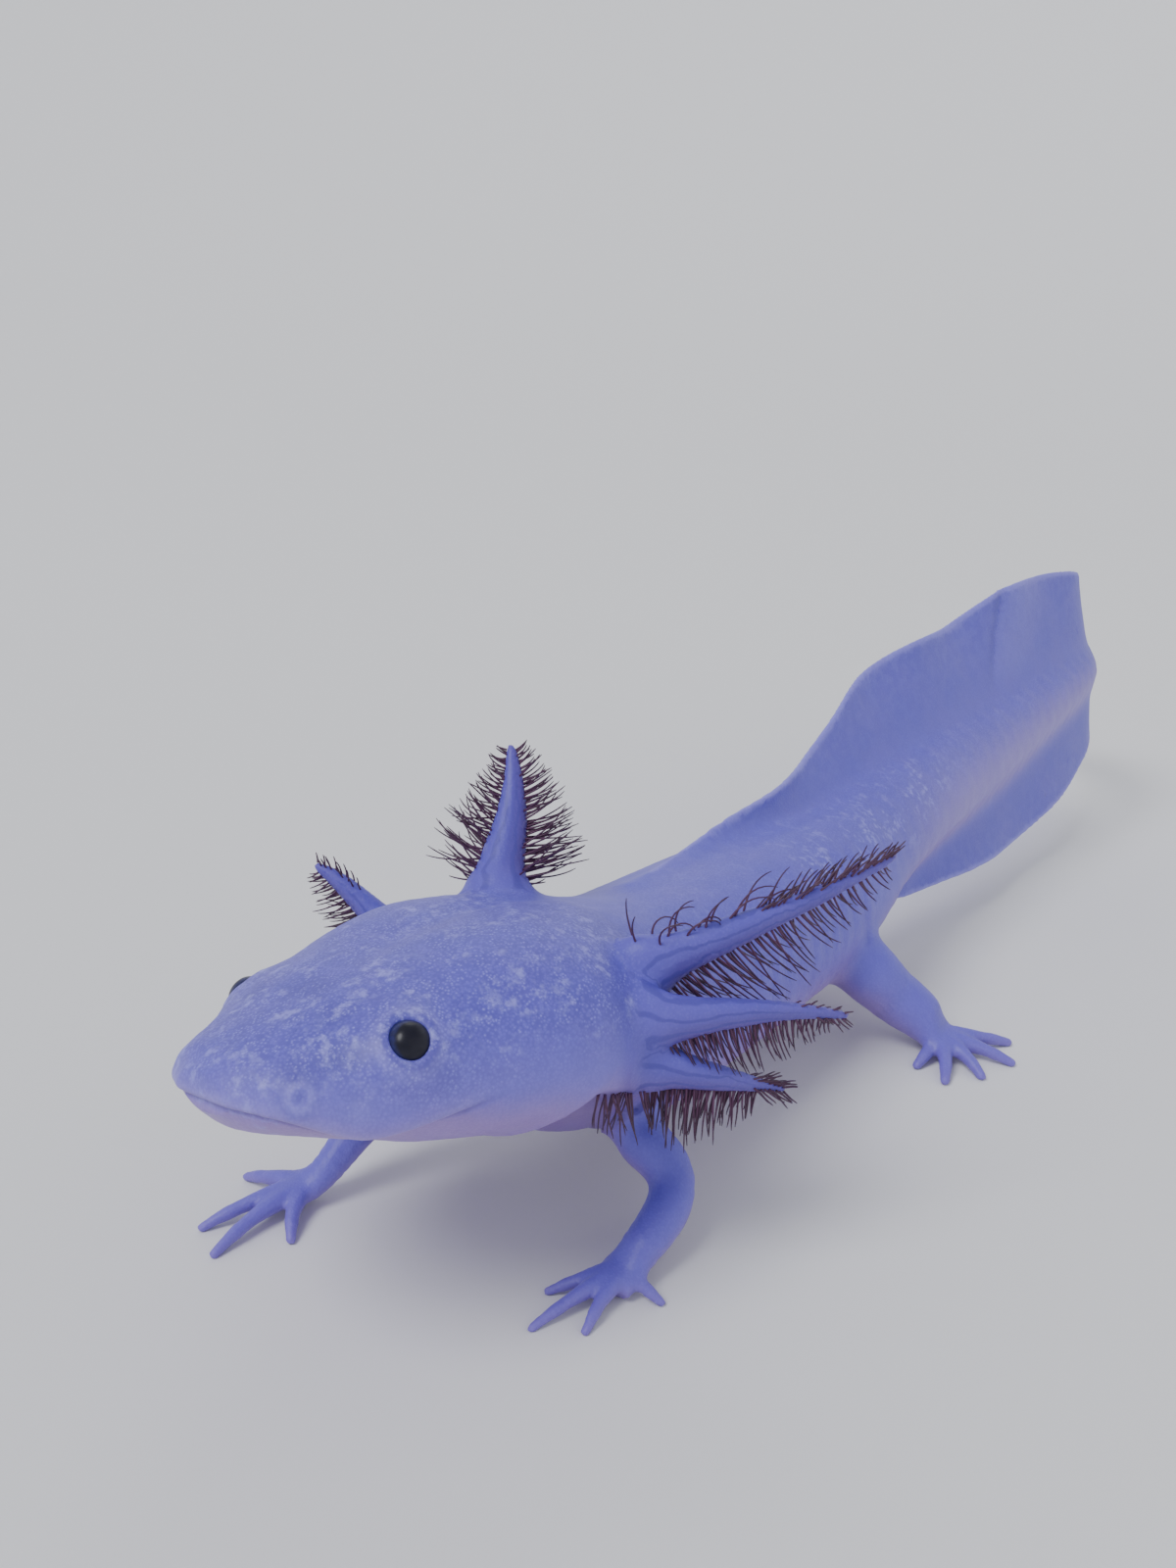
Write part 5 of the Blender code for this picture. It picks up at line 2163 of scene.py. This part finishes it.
class Graph:
    """A material's nodes, made in one place."""

    def __init__(self, name: str) -> None:
        """Starts an empty material with one Principled shader.

        Args:
            name: the material's name.
        """
        self.material = bpy.data.materials.new(name)
        self.material.use_nodes = True
        self.nodes = self.material.node_tree.nodes
        self.links = self.material.node_tree.links
        self.shader = self.nodes["Principled BSDF"]

    def node(
        self,
        kind: str,
        inputs: dict[str | int, object] | None = None,
        **settings: object,
    ) -> bpy.types.Node:
        """Makes one node.

        Args:
            kind: the node's type name, without its ShaderNode prefix.
            inputs: values or sockets for its inputs.
            settings: the node's own settings.

        Returns:
            The new node.
        """
        made = self.nodes.new("ShaderNode" + kind)
        for key, value in settings.items():
            setattr(made, key, value)
        for key, value in (inputs or {}).items():
            self.feed(made.inputs[key], value)
        return made

    def feed(self, target: bpy.types.NodeSocket, value: object) -> None:
        """Links or sets one input.

        Args:
            target: the input.
            value: a number, a colour or a wire.
        """
        if isinstance(value, Wire):
            self.links.new(value.socket, target)
        else:
            target.default_value = value

    def set(self, **values: object) -> None:
        """Links or sets the shader's own inputs, named with _ for spaces."""
        for key, value in values.items():
            self.feed(self.shader.inputs[key.replace("_", " ")], value)

    def attribute(self, name: str, output: str = "Fac") -> "Wire":
        """A stored value of the mesh."""
        return Wire(self, self.node("Attribute", attribute_name=name).outputs[output])

    def place(self) -> "Wire":
        """The point's place on the object, in metres."""
        return Wire(self, self.node("TexCoord").outputs["Object"])

    def noise(self, scale: float, detail: float = 3.0, rough: float = 0.5) -> "Wire":
        """Soft noise from 0 to 1."""
        inputs = {"Vector": self.place(), "Scale": scale, "Detail": detail, "Roughness": rough}
        return Wire(self, self.node("TexNoise", inputs).outputs["Fac"])

    def cells(self, scale: float) -> "Wire":
        """Distance to the middle of the nearest cell."""
        inputs = {"Vector": self.place(), "Scale": scale, "Randomness": 1.0}
        return Wire(self, self.node("TexVoronoi", inputs).outputs["Distance"])

    def step(self, value: "Wire", low: float, high: float) -> "Wire":
        """0 at low, 1 at high and smooth between.

        Args:
            value: the wire.
            low: where it is 0.
            high: where it is 1.

        Returns:
            The stepped wire.
        """
        inputs = {"Value": value, "From Min": low, "From Max": high}
        made = self.node("MapRange", inputs, interpolation_type="SMOOTHSTEP")
        return Wire(self, made.outputs["Result"])

    def mix(self, share: object, first: object, second: object) -> "Wire":
        """Blend of two colours.

        Args:
            share: how much of the second.
            first: a colour or its wire.
            second: a colour or its wire.

        Returns:
            The blend.
        """
        made = self.node("Mix", data_type="RGBA")
        self.feed(made.inputs[0], share)
        self.feed(made.inputs[6], first)
        self.feed(made.inputs[7], second)
        return Wire(self, made.outputs[2])

    def bump(
        self,
        height: "Wire",
        strength: float,
        distance: float,
        below: "Wire | None" = None,
    ) -> "Wire":
        """A bumped normal, over another one if given.

        Args:
            height: the pattern that is raised.
            strength: how much it turns the light.
            distance: its height, in metres.
            below: a normal that it is laid over.

        Returns:
            The normal.
        """
        inputs = {"Height": height, "Strength": strength, "Distance": distance}
        if below is not None:
            inputs["Normal"] = below
        return Wire(self, self.node("Bump", inputs).outputs["Normal"])


class Wire:
    """One output of a node, which adds and multiplies as a number does."""

    def __init__(self, graph: Graph, socket: bpy.types.NodeSocket) -> None:
        """Keeps the socket with the graph that it is in."""
        self.graph = graph
        self.socket = socket

    def maths(self, operation: str, first: object, second: object) -> "Wire":
        """The result of one operation on two numbers or wires."""
        made = self.graph.node("Math", {0: first, 1: second}, operation=operation)
        return Wire(self.graph, made.outputs[0])

    def __add__(self, other: object) -> "Wire":
        """Sum."""
        return self.maths("ADD", self, other)

    def __radd__(self, other: object) -> "Wire":
        """Sum with a number on the left."""
        return self.maths("ADD", other, self)

    def __sub__(self, other: object) -> "Wire":
        """Difference."""
        return self.maths("SUBTRACT", self, other)

    def __rsub__(self, other: object) -> "Wire":
        """Difference from a number."""
        return self.maths("SUBTRACT", other, self)

    def __mul__(self, other: object) -> "Wire":
        """Product."""
        return self.maths("MULTIPLY", self, other)

    def __rmul__(self, other: object) -> "Wire":
        """Product with a number on the left."""
        return self.maths("MULTIPLY", other, self)


@dataclass(frozen=True)
class SkinFinish:
    """Soft satin skin: painted tints under dense pale granules, patches and fine dark pores.

    Scales are how many of a pattern's marks fit in a metre. Every strength is how much of its
    own colour a pattern adds at most, and the granules' and the dark net's are given where the
    skin is plain and what the speckled places add.
    """

    roughness: float = 0.44
    uneven_roughness: float = 0.12
    rough_scale: float = 900.0
    glow: float = 0.16
    glow_reach: float = 0.0014
    glow_spread: Place = (1.0, 0.5, 0.55)
    wet_coat: float = 0.08
    wet_roughness: float = 0.3
    cloud_scale: float = 190.0
    cloud_strength: float = 0.16
    mottle_scale: float = 620.0
    mottle_strength: Pair = (0.04, 0.18)
    granule_scale: float = 4300.0
    granule_strength: Pair = (0.05, 0.5)
    cluster_scale: float = 900.0
    net_strength: Pair = (0.05, 0.26)
    patch_scale: float = 1250.0
    patch_zone_scale: float = 330.0
    patch_strength: float = 0.56
    pore_scale: float = 2600.0
    pore_zone_scale: float = 800.0
    pore_strength: float = 0.55
    vein_turns: float = 8.0
    vein_scale: float = 300.0
    vein_strength: float = 0.6
    ray_scale: float = 700.0
    ray_strength: float = 0.08
    granule_bump: Pair = (0.3, 0.00005)
    grain_scale: float = 1300.0
    grain_bump: Pair = (0.22, 0.0001)
    pale: Colour = (0.36, 0.36, 0.90, 1.0)
    net: Colour = (0.055, 0.045, 0.34, 1.0)
    bloom: Colour = (0.20, 0.15, 0.60, 1.0)

    def make(self) -> bpy.types.Material:
        """Builds the material.

        Returns:
            The material.
        """
        graph = Graph("skin")
        colour, speckled = graph.attribute("tint", "Color"), graph.attribute("grain")
        cloud = graph.step(graph.noise(self.cloud_scale, 3.0), 0.35, 0.7)
        colour = graph.mix(cloud * self.cloud_strength, colour, self.bloom)
        mottle = graph.step(graph.noise(self.mottle_scale, 5.0, 0.62), 0.4, 0.64)
        plain, more = self.mottle_strength
        colour = graph.mix((1 - mottle) * (plain + more * speckled), colour, self.net)
        granule = graph.cells(self.granule_scale)
        dot = graph.step(granule, 0.46, 0.12)
        cluster = graph.step(graph.noise(self.cluster_scale, 5.0, 0.7), 0.4, 0.62)
        plain, more = self.granule_strength
        colour = graph.mix(dot * speckled * (plain + more * cluster), colour, self.pale)
        plain, more = self.net_strength
        between = graph.step(granule, 0.38, 0.72)
        colour = graph.mix(between * (plain + more * speckled), colour, self.net)
        patch = graph.step(graph.noise(self.patch_scale, 4.0, 0.6), 0.46, 0.68)
        zone = graph.step(graph.noise(self.patch_zone_scale, 2.0), 0.44, 0.58)
        share = patch * zone * graph.attribute("patch") * self.patch_strength
        colour = graph.mix(share, colour, self.pale)
        pore = graph.step(graph.cells(self.pore_scale), 0.2, 0.1)
        pore = pore * graph.step(graph.noise(self.pore_zone_scale, 2.0), 0.5, 0.58)
        colour = graph.mix(pore * speckled * self.pore_strength, colour, self.net)
        bend = graph.noise(self.vein_scale, 2.0) * self.vein_turns
        across = graph.attribute("below") * self.vein_turns + bend
        wave = Wire(graph, graph.node("Math", {0: across}, operation="SINE").outputs[0])
        vein = graph.step(wave, 0.55, 0.95) * graph.attribute("stalk")
        colour = graph.mix(vein * self.vein_strength, colour, self.net)
        ray = graph.step(graph.noise(self.ray_scale, 4.0, 0.6), 0.44, 0.6)
        ray = ray * graph.attribute("thin")
        colour = graph.mix(ray * self.ray_strength, colour, self.pale)
        rough = graph.noise(self.rough_scale, 2.0) * self.uneven_roughness + self.roughness
        normal = graph.bump(1 - graph.step(granule, 0.1, 0.65), *self.granule_bump)
        normal = graph.bump(graph.noise(self.grain_scale, 4.0), *self.grain_bump, normal)
        graph.set(Base_Color=colour, Roughness=rough, Normal=normal)
        graph.set(Subsurface_Weight=self.glow, Subsurface_Scale=self.glow_reach)
        graph.set(Subsurface_Radius=self.glow_spread)
        graph.set(Coat_Weight=self.wet_coat, Coat_Roughness=self.wet_roughness)
        return graph.material


@dataclass(frozen=True)
class FilamentFinish:
    """Soft dark purplish-red threads, lighter at their roots."""

    root: Colour = (0.10, 0.028, 0.085, 1.0)
    tip: Colour = (0.038, 0.011, 0.034, 1.0)
    roughness: float = 0.45
    shade_scale: float = 900.0

    def make(self) -> bpy.types.Material:
        """Builds the material.

        Returns:
            The material.
        """
        graph = Graph("filaments")
        shade = graph.step(graph.noise(self.shade_scale, 2.0), 0.35, 0.7)
        along = graph.attribute("along")
        colour = graph.mix(along * 0.8 + shade * 0.2, self.root, self.tip)
        graph.set(Base_Color=colour, Roughness=self.roughness)
        return graph.material


@dataclass(frozen=True)
class EyeFinish:
    """A smooth black eye with a faint dark blue edge to its iris."""

    pupil: Colour = (0.004, 0.004, 0.014, 1.0)
    iris: Colour = (0.016, 0.018, 0.11, 1.0)
    iris_edge: Pair = (0.86, 1.1)
    fibre_scale: float = 2600.0
    roughness: float = 0.36
    gloss: float = 0.3
    wet_coat: float = 0.12
    wet_roughness: float = 0.15

    def make(self) -> bpy.types.Material:
        """Builds the material.

        Returns:
            The material.
        """
        graph = Graph("eye")
        edge = graph.step(graph.attribute("turn"), *self.iris_edge)
        fibre = graph.step(graph.noise(self.fibre_scale, 2.0), 0.3, 0.75) * 0.5 + 0.5
        colour = graph.mix(edge * fibre, self.pupil, self.iris)
        graph.set(Base_Color=colour, Roughness=self.roughness, Specular_IOR_Level=self.gloss)
        graph.set(Coat_Weight=self.wet_coat, Coat_Roughness=self.wet_roughness)
        return graph.material


@dataclass(frozen=True)
class StudioFinish:
    """A plain pale matt ground."""

    colour: Colour = (0.80, 0.80, 0.81, 1.0)
    roughness: float = 0.9
    gloss: float = 0.2

    def make(self) -> bpy.types.Material:
        """Builds the material.

        Returns:
            The material.
        """
        graph = Graph("studio")
        graph.set(Base_Color=self.colour, Roughness=self.roughness)
        graph.set(Specular_IOR_Level=self.gloss)
        return graph.material


# ---------------- studio


@dataclass(frozen=True)
class Lamp:
    """One soft even light: where it comes from, how many degrees wide it is, and how strong."""

    name: str
    place: Place
    width: float
    power: float
    colour: Place
    aim_height: float = 0.015

    def build(self) -> None:
        """Hangs the lamp, turned towards the model."""
        data = bpy.data.lights.new(self.name, "SUN")
        data.angle = math.radians(self.width)
        data.energy = self.power
        data.color = self.colour
        made = bpy.data.objects.new(self.name, data)
        made.location = self.place
        way = -Vector(self.place) + Vector((0, 0, self.aim_height))
        made.rotation_euler = way.to_track_quat("-Z", "Y").to_euler()
        bpy.context.scene.collection.objects.link(made)


@dataclass
class Studio:
    """Floor, lights and camera.

    The camera's place is in millimetres, from the body's own origin. The floor is in metres.
    """

    shift: Vector
    camera_place: Place = (62.6, -101.1, 66.3)
    turn: float = math.radians(39.0)
    look_down: float = math.radians(18.48)
    tilt: float = math.radians(1.57)
    lens: float = 30.375
    sensor_width: float = 36.0
    nearest_seen: float = 0.005
    floor_radius: float = 0.8
    floor_sides: int = 96
    rise_radius: float = 4.0
    rise_rings: int = 16
    air_colour: Colour = (0.86, 0.88, 0.95, 1.0)
    air_strength: float = 0.58
    lamps: tuple[Lamp, ...] = (
        Lamp("key", (-0.10, -0.42, 0.62), 28.0, 1.8, (0.97, 0.98, 1.0)),
        Lamp("fill", (0.62, -0.10, 0.30), 50.0, 0.35, (1.0, 0.98, 0.97)),
        Lamp("rim", (-0.35, 0.50, 0.45), 30.0, 0.6, (0.95, 0.97, 1.0)),
    )

    def build(self) -> None:
        """Makes everything round the model."""
        self.floor()
        for lamp in self.lamps:
            lamp.build()
        self.camera()
        world = bpy.data.worlds.new("studio")
        world.use_nodes = True
        air = world.node_tree.nodes["Background"].inputs
        air["Color"].default_value = self.air_colour
        air["Strength"].default_value = self.air_strength
        bpy.context.scene.world = world

    def floor(self) -> None:
        """A round pale floor that curves up into a wall far away, drawn out ring by ring."""
        deselect()
        bpy.ops.mesh.primitive_circle_add(
            vertices=self.floor_sides, radius=self.floor_radius, fill_type="NGON"
        )
        floor = bpy.context.object
        floor.name = "floor"
        with editing():
            bpy.ops.mesh.select_all(action="SELECT")
            bpy.ops.mesh.select_mode(type="EDGE")
            bpy.ops.mesh.region_to_loop()
            radius, height = self.floor_radius, 0.0
            for i in range(1, self.rise_rings + 1):
                turn = math.pi / 2 * i / self.rise_rings
                wide = self.floor_radius + self.rise_radius * math.sin(turn)
                high = self.rise_radius * (1.0 - math.cos(turn))
                widened = (wide / radius, wide / radius, 1.0)
                bpy.ops.mesh.extrude_edges_move()
                bpy.ops.transform.resize(value=widened, center_override=(0, 0, height))
                bpy.ops.transform.translate(value=(0.0, 0.0, high - height))
                radius, height = wide, high
        floor.data.shade_smooth()
        floor.data.materials.append(StudioFinish().make())

    def camera(self) -> None:
        """A camera that looks down on the animal from its left front."""
        ahead = Vector((-math.sin(self.turn), math.cos(self.turn), 0.0))
        right = Vector((math.cos(self.turn), math.sin(self.turn), 0.0))
        up = Vector((0.0, 0.0, 1.0))
        forward = ahead * math.cos(self.look_down) - up * math.sin(self.look_down)
        down = ahead * -math.sin(self.look_down) - up * math.cos(self.look_down)
        level_right = right * math.cos(self.tilt) - down * math.sin(self.tilt)
        level_down = right * math.sin(self.tilt) + down * math.cos(self.tilt)
        columns = Matrix((level_right, -level_down, -forward)).transposed().to_4x4()
        data = bpy.data.cameras.new("camera")
        data.lens = self.lens
        data.sensor_width = self.sensor_width
        data.clip_start = self.nearest_seen
        made = bpy.data.objects.new("camera", data)
        place = (Vector(self.camera_place) + self.shift) * MM
        made.matrix_world = Matrix.Translation(place) @ columns
        bpy.context.scene.collection.objects.link(made)
        bpy.context.scene.camera = made


# ---------------- the model


def box_shift(body: BodyForm, eye_place: Place) -> Vector:
    """How far the frame's origin is from the body's own, in millimetres."""
    low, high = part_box("eye_left")
    return (low + high) / (2 * MM) - body.pose.place(*eye_place)


def settle(piece: Thing, shift: Vector, material: bpy.types.Material) -> None:
    """Moves a piece's mesh into the frame, dresses it and lets it ride on the body.

    Args:
        piece: the object.
        shift: from the body's origin to the frame's, in millimetres.
        material: its finish.
    """
    piece.data.transform(Matrix.Translation(shift * MM))
    piece.data.materials.clear()
    piece.data.materials.append(material)
    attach(piece, "root")
    log.info("%s: %d faces", piece.name, len(piece.data.polygons))


def main() -> None:
    """Builds the model and its studio."""
    logging.basicConfig(level=logging.INFO, format="%(message)s")
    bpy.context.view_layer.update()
    body = BodyForm()
    gills = GillSet(body)
    limbs = LimbSet(body)
    form = Skin(body, gills, limbs)
    shift = box_shift(body, form.eye_place)
    skin = form.build()
    settle(skin, shift, SkinFinish().make())
    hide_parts(*form.nodes())
    filament = FilamentFinish().make()
    for gill, comb in zip(gills.gills, gills.filaments()):
        settle(comb, shift, filament)
        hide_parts(gill.node + "_fringe")
    eye = EyeFinish().make()
    for side in Side:
        eyeball = Eyeball(side, body, form.eye_place, form.eye_radius)
        ball = eyeball.build()
        settle(ball, shift, eye)
        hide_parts(eyeball.node)
    Studio(shift).build()


if __name__ == "__main__":
    main()
